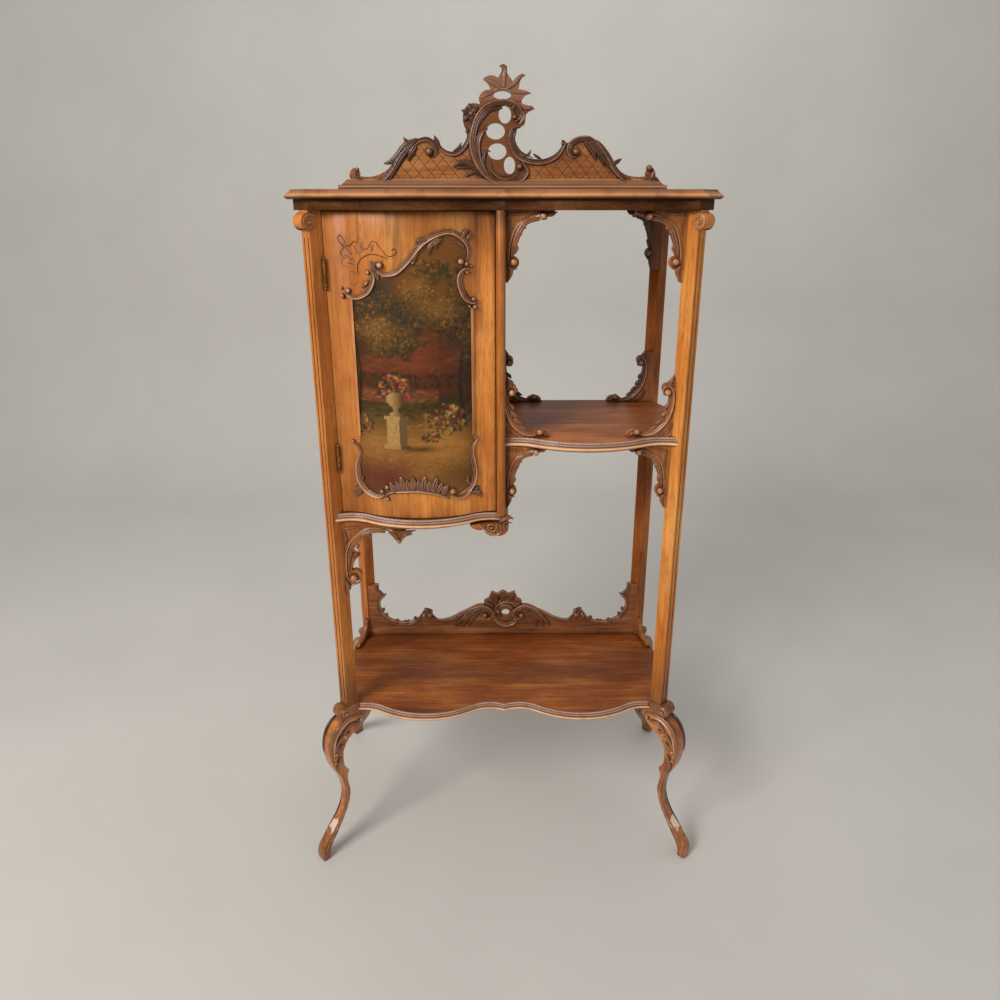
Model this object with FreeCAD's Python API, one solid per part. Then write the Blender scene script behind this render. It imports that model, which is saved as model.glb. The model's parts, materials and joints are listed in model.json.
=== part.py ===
"""Etagere: an open display stand with a bow-fronted cabinet, carved brackets and a pierced crest.

Millimetres. +Z is up, the front faces -Y, and the origin is on the floor at the middle of the four feet.
"""

import FreeCAD
import Part
import math
import os

V = FreeCAD.Vector
UPRIGHT = V(0, 0, 1)
ROOT2 = math.sqrt(2.0)

# Levels, from the floor upwards
LOWER_TOP = 338.0
CABINET_TOP = 762.0
MIDDLE_TOP = 908.0
FRIEZE_BOTTOM = 1296.0
FRIEZE_HEIGHT = 17.0
TOP_THICK = 15.0
SHELF_THICK = 18.0

# Posts: square, set with their faces on the diagonals
POST_X = 317.0
POST_Y = 138.5
POST_SIDE = 25.0
REED_WIDTH = 2.2
REED_DEPTH = 1.6
REED_OFFSET = 5.5
REED_FOOT = 14.0
VOLUTE_R = 12.5
VOLUTE_OUT = 2.5
VOLUTE_NECK = 4.0

# Legs: cabriole, in the diagonal plane of each corner
BLOCK_SIDE = 30.0
BLOCK_PROUD = 5.0
CAP_OUT = 16.0
CAP_DROP = 9.0
LEG_REACH = 97.0
DOWEL_R = 5.0
DOWEL_HALF = 20.0
DOWEL_GAP = 0.05

# Serpentine fronts: a hollow near each end, a swell between them
BOARD_OVER = 15.5
LOWER_OVER = 8.5
HOLLOW_R = 70.0
HOLLOW_IN = 30.0
BOW = 36.0
SIDE_BOW = 35.0
LOWER_BACK_OVER = 11.5
MIDDLE_BACK_IN = 8.5
EDGE_PROFILE = [(0.0, 5.0), (0.25, 4.0), (0.45, 1.2), (0.65, 0.0), (0.82, 1.2), (1.0, 6.0)]

# Top board and frieze
TOP_SIDE_OVER = 42.0
TOP_CANT = 32.0
TOP_SIDE_BOW = 8.0
TOP_FRONT_OVER = 34.5
TOP_BACK_OVER = 23.5
TOP_PROFILE = [(0.0, 9.0), (0.2, 8.0), (0.5, 3.0), (0.75, 0.0), (1.0, 4.0)]
FRIEZE_IN = 12.0
FRIEZE_WALL = 12.0
RAIL_END = 24.0

# Cabinet
CABINET_RIGHT = 8.0
CABINET_BACK_IN = 2.5
BACK_THICK = 8.0
SIDE_THICK = 10.0
DIVIDER_RIGHT = 2.0
DIVIDER_THICK = 14.0
STILE_WIDTH = 16.0
STILE_OVER = 23.5
STILE_IN = 10.5
INNER_SHELF_UP = 280.0
INNER_SHELF_THICK = 12.0
INNER_SHELF_IN = 34.5
CLEAT = 12.0
SHELF_GAP = 0.5

# Door
DOOR_IN = 8.0
DOOR_BOW = 34.0
DOOR_THICK = 18.0
DOOR_GAP = 1.2
DOOR_EDGE_GAP = 1.5
STOP_WIDTH = 12.0
STOP_DEPTH = 8.0
STOP_GAP = 0.5
PAINT_THICK = 2.5
PAINT_WIDE = 204.0
FRAME_RELIEF = 7.0
BEAD_RELIEF = 3.0
BEAD_WIDTH = 5.0

# Hinges
LOWER_HINGE_UP = 107.0
UPPER_HINGE_DOWN = 101.0
HINGE_HALF = 22.0
KNUCKLE_HALF = 7.2
KNUCKLE_GAP = 0.3
BARREL_R = 2.6
BARREL_GAP = 1.0
BARREL_PROUD = 4.0
LEAF_THICK = 1.4
PIN_R = 1.5
PIN_GAP = 0.05
TIP_R = 2.4
SCREW_HEAD_R = 2.2
SCREW_HEAD = 1.4
SCREW_R = 1.2
SCREW_LONG = 10.0
SCREW_SPREAD = 15.0
SCREW_GAP = 0.05

# Friction catch: a bent leaf on the door stop that bears on the door's back
CATCH_DOWN = 206.0
CATCH_HALF = 8.0
CATCH_THICK = 1.2
CATCH_REACH = 14.0
CATCH_NOSE_R = 1.5
CATCH_GAP = 0.3

# Carved boards
CREST_THICK = 16.0
CREST_IN = 10.5
CREST_HALF = 297.0
CREST_HIGH = 201.0
PLINTH_HALF = 320.0
PLINTH_STEP = 17.0
PLINTH_DEPTH = 36.0
PLINTH_LOWER = 13.0
PLINTH_UPPER = 11.0
BRACKET_THICK = 12.0
BRACKET_OVER = 3.5
REAR_BRACKET_IN = 22.5
TOP_BRACKET_WIDE = 82.0
TOP_BRACKET_HIGH = 116.0
REAR_TOP_BRACKET_WIDE = 54.0
SHELF_SCROLL_WIDE = 80.0
SHELF_SCROLL_HIGH = 106.0
UNDER_BRACKET_WIDE = 74.0
UNDER_BRACKET_HIGH = 120.0
CABINET_BRACKET_WIDE = 134.0
CABINET_BRACKET_HIGH = 143.0
GALLERY_IN = 14.5
GALLERY_THICK = 12.0
GALLERY_POST_HIGH = 130.0
GALLERY_HOLE_R = 10.0
SIDE_GALLERY_LONG = 76.0
SIDE_GALLERY_SPLAY = 13.0
SIDE_GALLERY_HIGH = 42.0
SIDE_GALLERY_THICK = 9.0
PENDANT_OVER = 21.5
PENDANT_WIDE = 72.0
PENDANT_HIGH = 23.0
PENDANT_THICK = 20.0
CARVED_BAND = 11.0
ROSETTE_R = 8.5

# Sizes that the outlines below are drawn at: across, then up
LEG_DRAWN = (97.0, 321.0)
BLOCK_DRAWN = 30.0
CREST_DRAWN = (297.0, 201.0)
GALLERY_DRAWN = (317.0, 130.0)
PENDANT_DRAWN = (72.0, 23.0)
PAINT_DRAWN = 204.0
HANGING_DRAWN = (82.0, 116.0)
STANDING_DRAWN = (78.0, 108.0)
CABINET_BRACKET_DRAWN = (137.0, 143.0)

# Worked out from the sizes above
HALF_DIAG = POST_SIDE / ROOT2
BOARD_END_Y = -POST_Y - BOARD_OVER
LOWER_END_Y = -POST_Y - LOWER_OVER
LOWER_BACK = POST_Y + LOWER_BACK_OVER
MIDDLE_BACK = POST_Y - MIDDLE_BACK_IN
TOP_HALF = POST_X + TOP_SIDE_OVER
TOP_END_Y = -POST_Y - TOP_FRONT_OVER
TOP_BACK = POST_Y + TOP_BACK_OVER
CABINET_BACK = POST_Y - CABINET_BACK_IN
STILE_FRONT = -POST_Y - STILE_OVER
STILE_BACK = -POST_Y + STILE_IN
INNER_SHELF_TOP = CABINET_TOP + INNER_SHELF_UP
INNER_SHELF_FRONT = -POST_Y + INNER_SHELF_IN
CREST_Y = POST_Y - CREST_IN
BRACKET_FRONT = -POST_Y - BRACKET_OVER
REAR_BRACKET = POST_Y - REAR_BRACKET_IN
GALLERY_Y = POST_Y - GALLERY_IN
PENDANT_FRONT = -POST_Y - PENDANT_OVER
CATCH_LEVEL = FRIEZE_BOTTOM - CATCH_DOWN
HINGE_LEVELS = {"lower": CABINET_TOP + LOWER_HINGE_UP, "upper": FRIEZE_BOTTOM - UPPER_HINGE_DOWN}
BAY_MIDDLE = (CABINET_RIGHT - POST_X) / 2
DOOR_SCALE = PAINT_WIDE / PAINT_DRAWN
LEG_TOP = LOWER_TOP + BLOCK_PROUD
LOWER_UNDER = LOWER_TOP - SHELF_THICK
MIDDLE_UNDER = MIDDLE_TOP - SHELF_THICK
CABINET_UNDER = CABINET_TOP - SHELF_THICK
FRIEZE_TOP = FRIEZE_BOTTOM + FRIEZE_HEIGHT
TOP_LEVEL = FRIEZE_TOP + TOP_THICK
CREST_FOOT = TOP_LEVEL + PLINTH_LOWER + PLINTH_UPPER
DIVIDER_LEFT = DIVIDER_RIGHT - DIVIDER_THICK
STILE_LEFT = DIVIDER_RIGHT - STILE_WIDTH
DOOR_RIGHT = STILE_LEFT - DOOR_EDGE_GAP
DOOR_LOW = CABINET_TOP + DOOR_EDGE_GAP
DOOR_HIGH = FRIEZE_BOTTOM - DOOR_EDGE_GAP
DOOR_END_Y = BOARD_END_Y + DOOR_IN
HOLLOW_RISE = HOLLOW_R - math.sqrt(HOLLOW_R ** 2 - HOLLOW_IN ** 2)

CORNERS = {
    "front_left": (-1, -1),
    "front_right": (1, -1),
    "rear_left": (-1, 1),
    "rear_right": (1, 1),
}


def box(low, high):
    """A box between two opposite corners."""
    return Part.makeBox(high[0] - low[0], high[1] - low[1], high[2] - low[2], V(*low))


def cylinder(radius, start, direction, length):
    return Part.makeCylinder(radius, length, V(*start), V(*direction))


def to_corner(shape, sx, sy):
    """Moves a piece drawn about the Z axis, outward along +X, to a corner of the stand."""
    placed = shape.copy()
    placed.rotate(V(0, 0, 0), UPRIGHT, math.degrees(math.atan2(sy, sx)))
    placed.translate(V(sx * POST_X, sy * POST_Y, 0))
    return placed


def post_space(sx, sy, low, high, side=POST_SIDE):
    """The square prism that a post, or something as wide as side, fills at a corner."""
    half = side / 2
    return to_corner(box((-half, -half, low), (half, half, high)), sx, sy)


def clear_posts(shape, side=POST_SIDE, names=CORNERS):
    """Notches a board round the posts that it meets."""
    bounds = shape.BoundBox
    for name in names:
        sx, sy = CORNERS[name]
        shape = shape.cut(post_space(sx, sy, bounds.ZMin - 1, bounds.ZMax + 1, side))
    return shape


def outline(runs, place):
    """A closed wire: a run of 2 points is a line, of 3 an arc, of more a smooth curve."""
    edges = []
    for run in runs:
        points = [place(*p) for p in run]
        if len(points) == 2:
            edges.append(Part.LineSegment(*points).toShape())
        elif len(points) == 3:
            edges.append(Part.Arc(*points).toShape())
        else:
            curve = Part.BSplineCurve()
            curve.interpolate(points)
            edges.append(curve.toShape())
    return Part.Wire(Part.__sortEdges__(edges))


def chain(*runs):
    """Runs that share their end points, written without repeating them, closed at the end."""
    joined = [list(runs[0])]
    for run in runs[1:]:
        joined.append([joined[-1][-1], *run])
    if joined[-1][-1] != joined[0][0]:
        joined.append([joined[-1][-1], joined[0][0]])
    return joined


def fret(runs, y, thick, x=0.0, z=0.0, sx=1.0, sz=1.0):
    """A board facing the front, sawn to an outline drawn as (across, up)."""
    face = Part.Face(outline(runs, lambda u, v: V(x + sx * u, y, z + sz * v)))
    return face.extrude(V(0, thick, 0))


def serpentine(x0, x1, y_end, bow, z):
    """Three tangent arcs from x0 to x1: hollow, swell forward by bow, hollow."""
    hollow_y = y_end + HOLLOW_RISE
    middle = (x0 + x1) / 2
    run = (x1 - x0) / 2 - HOLLOW_IN
    share = HOLLOW_R / ((run ** 2 + bow ** 2) / (2 * bow))
    reach = HOLLOW_IN + run * share
    join_y = hollow_y - bow * share
    points = [
        (x0, y_end), (x0 + HOLLOW_IN, hollow_y), (x0 + reach, join_y),
        (middle, hollow_y - bow),
        (x1 - reach, join_y), (x1 - HOLLOW_IN, hollow_y), (x1, y_end),
    ]
    on_plane = [V(px, py, z) for px, py in points]
    return [Part.Arc(*on_plane[i:i + 3]).toShape() for i in (0, 2, 4)]


def hollow_at(x, x0, y_end):
    """How far back the serpentine lies at x, in the hollow that starts at x0."""
    hollow_y = y_end + HOLLOW_RISE
    return hollow_y - HOLLOW_R + math.sqrt(HOLLOW_R ** 2 - (x - x0 - HOLLOW_IN) ** 2)


def board_wire(z, inset, left, right, y_end, back, inner=(), cant=0.0, left_bow=0.0, right_bow=0.0):
    """The plan of a board: a serpentine front of one bay between inner ends, and plain or bowed sides."""
    left, right, front = left + inset, right - inset, y_end + inset
    ends = [left + cant, *inner, right - cant]
    edges = []
    for x0, x1 in zip(ends, ends[1:]):
        edges += serpentine(x0, x1, front, BOW, z)
    lines = [((left, back), (right, back))]
    if cant:
        lines.append(((left, front + cant), (left + cant, front)))
        lines.append(((right, front + cant), (right - cant, front)))
    for x, swell in ((left, -left_bow), (right, right_bow)):
        if swell:
            middle = V(x + swell, (front + cant + back) / 2, z)
            edges.append(Part.Arc(V(x, front + cant, z), middle, V(x, back, z)).toShape())
        else:
            lines.append(((x, front + cant), (x, back)))
    edges += [Part.LineSegment(V(*a, z), V(*b, z)).toShape() for a, b in lines]
    return Part.Wire(Part.__sortEdges__(edges))


def moulded_board(top, thick, profile, **plan):
    """A board whose edge follows a profile of (share of the thickness down, inset)."""
    wires = [board_wire(top - share * thick, inset, **plan) for share, inset in profile]
    return Part.makeLoft(wires, True, True)


def leg():
    """A cabriole leg sawn from two sides, drawn outward along +X, with its block at the top."""
    half = BLOCK_SIDE / 2
    out_k, up_k, wide_k = LEG_REACH / LEG_DRAWN[0], LOWER_UNDER / LEG_DRAWN[1], BLOCK_SIDE / BLOCK_DRAWN
    outer = [(40, 305), (57, 277), (60, 250), (54, 215), (38, 180), (31, 150)]
    outer += [(33, 115), (45, 88), (70, 60), (92, 33), (97, 14), (95, 0)]
    calf = [(76, 22), (58, 50), (36, 82), (22, 112), (18, 142), (22, 172), (17, 190)]
    knee = [(27, 206), (29, 236), (21, 260), (0, 277), (-20, 292), (-32, 321)]

    def sized(points):
        return [(r * out_k, z * up_k) for r, z in points]

    profile = chain(
        [(-half, LEG_TOP), (half, LEG_TOP)],
        [(half + CAP_OUT, LEG_TOP - CAP_DROP), *sized([(20, 318)])],
        sized(outer),
        sized([(79, 0)]),
        sized(calf),
        sized(knee),
        [(-half, LOWER_UNDER)],
    )
    side = Part.Face(outline(profile, lambda r, z: V(r, -half, z))).extrude(V(0, BLOCK_SIDE, 0))
    widths = [(14.5, 300), (13, 250), (11.5, 200), (9.5, 150), (9, 110), (10, 60), (11.5, 18), (11, 0)]
    right = [(w * wide_k, z * up_k) for w, z in widths]
    left = [(-w, z) for w, z in reversed(right)]
    front = chain(
        [(-half, LEG_TOP), (half, LEG_TOP)],
        [(half, LOWER_UNDER)],
        right,
        [left[0]],
        left[1:],
        [(-half, LOWER_UNDER)],
    )
    reach = 2 * TOP_HALF
    sawn = Part.Face(outline(front, lambda w, z: V(-reach / 2, w, z))).extrude(V(reach, 0, 0))
    hole = cylinder(DOWEL_R + DOWEL_GAP, (0, 0, LEG_TOP - DOWEL_HALF), (0, 0, 1), DOWEL_HALF)
    return side.common(sawn).cut(hole)


def post(reeded):
    """A square post drawn about the Z axis, with a dowel hole in its foot."""
    half = POST_SIDE / 2
    shape = box((-half, -half, LEG_TOP), (half, half, FRIEZE_BOTTOM))
    shape = shape.cut(cylinder(DOWEL_R + DOWEL_GAP, (0, 0, LEG_TOP), (0, 0, 1), DOWEL_HALF))
    if reeded:
        top = FRIEZE_BOTTOM - volute_height() - REED_FOOT
        for side in (-1, 1):
            middle = side * REED_OFFSET
            low = (half - REED_DEPTH, middle - REED_WIDTH / 2, LEG_TOP + REED_FOOT)
            high = (half + 1, middle + REED_WIDTH / 2, top)
            shape = shape.cut(box(low, high))
    return shape


def volute_height():
    return 2 * VOLUTE_R + VOLUTE_NECK


def volute():
    """The scroll on the outer face at the top of a front post."""
    half = POST_SIDE / 2
    level = FRIEZE_BOTTOM - VOLUTE_NECK - VOLUTE_R
    scroll = cylinder(VOLUTE_R, (half + VOLUTE_OUT, -half, level), (0, 1, 0), POST_SIDE)
    neck = box((half, -half, level), (half + VOLUTE_OUT, half, FRIEZE_BOTTOM))
    behind = box((-half, -POST_SIDE, 0), (half, POST_SIDE, FRIEZE_BOTTOM + 1))
    return scroll.fuse(neck).cut(behind).removeSplitter()


def frieze_rails():
    """Four rails on the posts, sawn from one ring that follows the top board's edge."""
    plan = dict(left=-TOP_HALF, right=TOP_HALF, y_end=TOP_END_Y, inner=(0.0,), cant=TOP_CANT)
    wire = board_wire(FRIEZE_BOTTOM, FRIEZE_IN, back=TOP_BACK - FRIEZE_IN, **plan)
    block = Part.Face(wire).extrude(V(0, 0, FRIEZE_HEIGHT))
    in_x, in_y = POST_X - FRIEZE_WALL, POST_Y - FRIEZE_WALL
    ring = block.cut(box((-in_x, -in_y, FRIEZE_BOTTOM - 1), (in_x, in_y, FRIEZE_TOP + 1)))
    reach, end = 2 * TOP_HALF, POST_Y - RAIL_END
    low, high = FRIEZE_BOTTOM - 1, FRIEZE_TOP + 1
    return {
        "frieze_front_rail": ring.common(box((-reach, -reach, low), (reach, -end, high))),
        "frieze_rear_rail": ring.common(box((-reach, end, low), (reach, reach, high))),
        "frieze_left_rail": ring.common(box((-reach, -end, low), (0, end, high))),
        "frieze_right_rail": ring.common(box((0, -end, low), (reach, end, high))),
    }


def crest_plinth():
    """A plain lower step with a sloped step on it."""
    y0, y1 = CREST_Y + CREST_THICK / 2 - PLINTH_DEPTH / 2, CREST_Y + CREST_THICK / 2 + PLINTH_DEPTH / 2
    step_level = TOP_LEVEL + PLINTH_LOWER
    lower = box((-PLINTH_HALF, y0, TOP_LEVEL), (PLINTH_HALF, y1, step_level))
    sections = []
    for z, inset in ((step_level, PLINTH_STEP / 3), (CREST_FOOT, PLINTH_STEP)):
        half, depth = PLINTH_HALF - inset, PLINTH_DEPTH / 2 * (1 - inset / (2 * PLINTH_STEP))
        middle = (y0 + y1) / 2
        corners = [(-half, middle - depth), (half, middle - depth), (half, middle + depth)]
        corners += [(-half, middle + depth), (-half, middle - depth)]
        sections.append(Part.makePolygon([V(x, y, z) for x, y in corners]))
    return lower.fuse(Part.makeLoft(sections, True, True)).removeSplitter()


def crest_board():
    """The pierced crest: scrolled shoulders, a leaning cartouche and a flame of leaves."""
    left = [[(-296, 0), (-297, 12), (-288, 20), (-280, 14), (-281, 6)]]
    left += [[(-262, 4), (-238, 9), (-214, 28), (-200, 52), (-182, 70)]]
    left += [[(-162, 73), (-144, 72), (-134, 67)], [(-131, 79)]]
    left += [[(-122, 60), (-112, 50), (-96, 46), (-78, 56), (-67, 74), (-70, 88)]]
    flower = [[(-76, 104), (-70, 128), (-50, 134)], [(-41, 133)], [(-45, 144), (-38, 154), (-23, 157)]]
    flame = [[(-27, 167), (-37, 176)], [(-24, 182), (-9, 178)], [(-3, 188), (-2, 195), (-6, 199)], [(1, 201)]]
    flame += [[(8, 195), (8, 187), (15, 177), (19, 171)], [(27, 179), (35, 185)], [(42, 183)]]
    flame += [[(33, 174), (31, 165), (29, 157)], [(43, 156), (53, 152)], [(43, 149), (37, 142), (36, 134)]]
    flame += [[(46, 131), (55, 130)], [(60, 125)], [(50, 121), (44, 115), (43, 106), (30, 94)]]
    right = [[(23, 74), (30, 48), (54, 33), (88, 31), (108, 48), (115, 68)]]
    right += [[(126, 66), (142, 76), (160, 73), (182, 66)]]
    right += [[(200, 50), (216, 26), (238, 9), (262, 4), (281, 6)]]
    right += [[(280, 14), (288, 22), (297, 12), (296, 0)]]
    kx, kz = CREST_HALF / CREST_DRAWN[0], CREST_HIGH / CREST_DRAWN[1]
    board = fret(chain(*left, *flower, *flame, *right), CREST_Y, CREST_THICK, z=CREST_FOOT, sx=kx, sz=kz)
    wide = [(-1, 149, 17, 8), (-14, 86, 18, 15), (-11, 50, 18, 15)]
    tall = [(4, 115, 16, 12), (13, 25, 16, 11)]
    for turn, piercings in ((0, wide), (90, tall)):
        for x, z, long, short in piercings:
            ring = Part.Ellipse(V(0, 0, 0), long * kz, short * kz).toShape()
            ring.rotate(V(0, 0, 0), UPRIGHT, turn)
            ring.rotate(V(0, 0, 0), V(1, 0, 0), 90)
            ring.translate(V(x * kx, CREST_Y - 1, CREST_FOOT + z * kz))
            board = board.cut(Part.Face(Part.Wire(ring)).extrude(V(0, CREST_THICK + 2, 0)))
    return board


# Bracket outlines, drawn as (from the upright, from the board)
HANGING = chain(
    [(0, 0), (82, 0)],
    [(78, 6), (69, 11)],
    [(61, 6)],
    [(50, 6), (36, 11), (25, 23)],
    [(31, 28)],
    [(24, 36), (18, 45), (15, 54)],
    [(19, 60)],
    [(13, 73)],
    [(23, 83), (13, 93)],
    [(7, 104), (4, 116)],
    [(0, 116)],
)
STANDING = chain(
    [(0, 0), (78, 0)],
    [(74, 9), (62, 13)],
    [(54, 12), (46, 5)],
    [(30, 13), (17, 33), (8, 56), (6, 82)],
    [(19, 91), (9, 100)],
    [(5, 104), (0, 108)],
)
CABINET_BRACKET = chain(
    [(0, 0), (137, 0)],
    [(132, 12), (118, 16)],
    [(112, 30), (106, 42)],
    [(100, 30), (94, 20)],
    [(68, 14), (42, 20), (20, 40), (13, 64)],
    [(26, 70)],
    [(14, 84), (9, 102)],
    [(27, 112), (14, 124)],
    [(6, 132), (3, 143)],
    [(0, 143)],
)


def bracket(runs, drawn, width, height, wall, side, board, y):
    """A fretted bracket: wall is the upright's X, side the way it points, height is negative to hang."""
    sx, sz = side * width / drawn[0], height / drawn[1]
    return fret(runs, y, BRACKET_THICK, x=wall, z=board, sx=sx, sz=sz)


def brackets():
    """Every bracket, against the divider on the left of the open bays and the posts on the right."""
    hanging, standing = (HANGING, HANGING_DRAWN), (STANDING, STANDING_DRAWN)
    corner = POST_X - HALF_DIAG
    under_top = dict(width=TOP_BRACKET_WIDE, height=-TOP_BRACKET_HIGH, board=FRIEZE_BOTTOM)
    behind_top = dict(width=REAR_TOP_BRACKET_WIDE, height=-TOP_BRACKET_HIGH, board=FRIEZE_BOTTOM)
    on_middle = dict(width=SHELF_SCROLL_WIDE, height=SHELF_SCROLL_HIGH, board=MIDDLE_TOP)
    under_middle = dict(width=UNDER_BRACKET_WIDE, height=-UNDER_BRACKET_HIGH, board=MIDDLE_UNDER)
    rows = {
        "top_bracket_front": (hanging, under_top, BRACKET_FRONT),
        "top_bracket_rear": (hanging, behind_top, REAR_BRACKET),
        "shelf_scroll_front": (standing, on_middle, BRACKET_FRONT),
        "shelf_scroll_rear": (standing, on_middle, REAR_BRACKET),
        "under_shelf_bracket": (hanging, under_middle, BRACKET_FRONT),
    }
    made = {}
    for name, (drawing, sizes, y) in rows.items():
        made[name + "_left"] = bracket(*drawing, wall=DIVIDER_RIGHT, side=1, y=y, **sizes)
        made[name + "_right"] = against_post(bracket(*drawing, wall=corner, side=-1, y=y, **sizes), 1)
    at_cabinet = bracket(CABINET_BRACKET, CABINET_BRACKET_DRAWN, CABINET_BRACKET_WIDE, -CABINET_BRACKET_HIGH,
                         -corner, 1, CABINET_UNDER, BRACKET_FRONT)
    made["cabinet_bracket"] = against_post(at_cabinet, -1)
    return made


def against_post(shape, sx):
    """Widens a bracket's upright edge into the post behind it, then fits it to the post's faces."""
    bounds = shape.BoundBox
    corner = sx * (POST_X - HALF_DIAG)
    low_x, high_x = sorted((corner, sx * POST_X))
    strip = box((low_x, bounds.YMin, bounds.ZMin), (high_x, bounds.YMax, bounds.ZMax))
    names = [name for name, (cx, _) in CORNERS.items() if cx == sx]
    return clear_posts(shape.fuse(strip), names=names).removeSplitter()


def pendant():
    """The carved drop under the cabinet's free corner."""
    drawn = chain(
        [(0, 0), (-72, 0)],
        [(-62, -9), (-46, -9)],
        [(-36, -21), (-22, -22)],
        [(-6, -18), (0, -6)],
    )
    sx, sz = PENDANT_WIDE / PENDANT_DRAWN[0], PENDANT_HIGH / PENDANT_DRAWN[1]
    return fret(drawn, PENDANT_FRONT, PENDANT_THICK, x=CABINET_RIGHT, z=CABINET_UNDER, sx=sx, sz=sz)


def lower_gallery():
    """The pierced back rail of the lower shelf, fitted between the rear posts."""
    half = [[(0, 112), (6, 109), (13, 103)], [(20, 107), (28, 109)], [(31, 99), (36, 90)], [(44, 85), (42, 75)]]
    half += [[(58, 75), (76, 67), (102, 50), (128, 38), (153, 35)]]
    half += [[(162, 42), (167, 54)], [(175, 59), (184, 54)], [(188, 43), (200, 36)]]
    half += [[(234, 29), (262, 36), (282, 53), (289, 74), (277, 99)]]
    half += [[(284, 108), (290, 114)], [(290, 130)], [(317, 130)]]
    drawn = chain(*half, [(317, 0)], [(0, 0)])
    kx, kz = POST_X / GALLERY_DRAWN[0], GALLERY_POST_HIGH / GALLERY_DRAWN[1]
    sides = [fret(drawn, GALLERY_Y, GALLERY_THICK, z=LOWER_TOP, sx=s * kx, sz=kz) for s in (1, -1)]
    rail = sides[0].fuse(sides[1])
    hole_at = (6 * kx, GALLERY_Y - 1, LOWER_TOP + 56 * kz)
    rail = rail.cut(cylinder(GALLERY_HOLE_R, hole_at, (0, 1, 0), GALLERY_THICK + 2))
    return clear_rear_corners(rail).removeSplitter()


def clear_rear_corners(shape):
    """Fits a piece that stands on the lower shelf to the rear posts and the leg blocks under them."""
    shape = clear_posts(shape, names=("rear_left", "rear_right"))
    for sx in (-1, 1):
        shape = shape.cut(post_space(sx, 1, 0, LEG_TOP, BLOCK_SIDE))
    return shape


def side_gallery(sx):
    """A small scroll that leaves the rear post forward and outward, along the lower shelf's bowed side."""
    foot, top = SIDE_GALLERY_LONG, SIDE_GALLERY_HIGH
    near = POST_SIDE
    drawn = chain(
        [(0, 0), (foot, 0)],
        [(foot - 3, 11), (foot - 12, 9)],
        [(foot - 34, 15), (near, top - 6)],
        [(near - 4, top), (near - 8, top)],
        [(0, top)],
    )
    half = SIDE_GALLERY_THICK / 2
    face = Part.Face(outline(drawn, lambda t, z: V(t, -half, LOWER_TOP + z)))
    scroll = face.extrude(V(0, SIDE_GALLERY_THICK, 0))
    scroll.rotate(V(0, 0, 0), UPRIGHT, -90 + sx * SIDE_GALLERY_SPLAY)
    scroll.translate(V(sx * POST_X, POST_Y, 0))
    return clear_rear_corners(scroll)


def door_slab(thick=DOOR_THICK, forward=0.0):
    """The whole bowed slab that the door is sawn from, set forward by a little for its mouldings."""
    front = DOOR_END_Y - forward
    ends = (-POST_X, CABINET_RIGHT)
    edges = serpentine(*ends, front, DOOR_BOW, DOOR_LOW)
    edges += serpentine(*ends, front + thick, DOOR_BOW, DOOR_LOW)
    for x in ends:
        edges.append(Part.LineSegment(V(x, front, DOOR_LOW), V(x, front + thick, DOOR_LOW)).toShape())
    wire = Part.Wire(Part.__sortEdges__(edges))
    return Part.Face(wire).extrude(V(0, 0, DOOR_HIGH - DOOR_LOW))


def door_blank():
    """The slab cut to its width, with its hinge edge bevelled to the post."""
    inner = -POST_X + (POST_SIDE + 2 * DOOR_GAP) / ROOT2
    slab = door_slab().common(box((-POST_X, -TOP_HALF, 0), (DOOR_RIGHT, 0, TOP_LEVEL)))
    slab = slab.cut(post_space(-1, -1, 0, TOP_LEVEL, POST_SIDE + 2 * DOOR_GAP))
    return slab.cut(box((-POST_X, -POST_Y, 0), (inner, 0, TOP_LEVEL)))


def door_area(drawn):
    """The space in front of and behind an outline on the door."""
    return fret(drawn, -TOP_HALF, TOP_HALF)


def on_head(*points):
    """Door outline points drawn from the middle of the bay and the frieze's underside."""
    return [(BAY_MIDDLE + DOOR_SCALE * u, FRIEZE_BOTTOM + DOOR_SCALE * v) for u, v in points]


def on_foot(*points):
    """Door outline points drawn from the middle of the bay and the cabinet's floor."""
    return [(BAY_MIDDLE + DOOR_SCALE * u, CABINET_TOP + DOOR_SCALE * v) for u, v in points]


def paint_outline():
    """The painted panel's edge: straight sides, a high arch on the right, a shaped foot."""
    return chain(
        on_foot((-104, 138)) + on_head((-104, -136)),
        on_head((-82, -134), (-60, -106)),
        on_head((-32, -100), (4, -70), (30, -44), (60, -35)),
        on_head((88, -46), (94, -74)),
        on_head((82, -110), (100, -144)),
        on_foot((100, 138)),
        on_foot((94, 122), (102, 86), (88, 56), (64, 42)),
        on_foot((42, 44)),
        on_foot((-4, 56), (-56, 44)),
        on_foot((-76, 42)),
        on_foot((-102, 60), (-108, 90), (-104, 138)),
    )


def ribbon(points, width):
    """A band of one width along a smooth path, as a closed outline."""
    edge_a, edge_b = [], []
    for i, (x, z) in enumerate(points):
        ax, az = points[max(i - 1, 0)]
        bx, bz = points[min(i + 1, len(points) - 1)]
        along = math.hypot(bx - ax, bz - az)
        nx, nz = -(bz - az) / along * width / 2, (bx - ax) / along * width / 2
        edge_a.append((x + nx, z + nz))
        edge_b.append((x - nx, z - nz))
    return [edge_a, [edge_a[-1], edge_b[-1]], edge_b, [edge_b[0], edge_a[0]]]


def on_door(drawn, relief):
    """A moulding of some relief, with its back on the door's bowed face."""
    raised = door_slab(relief, relief)
    return raised.common(door_area(drawn))


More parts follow.
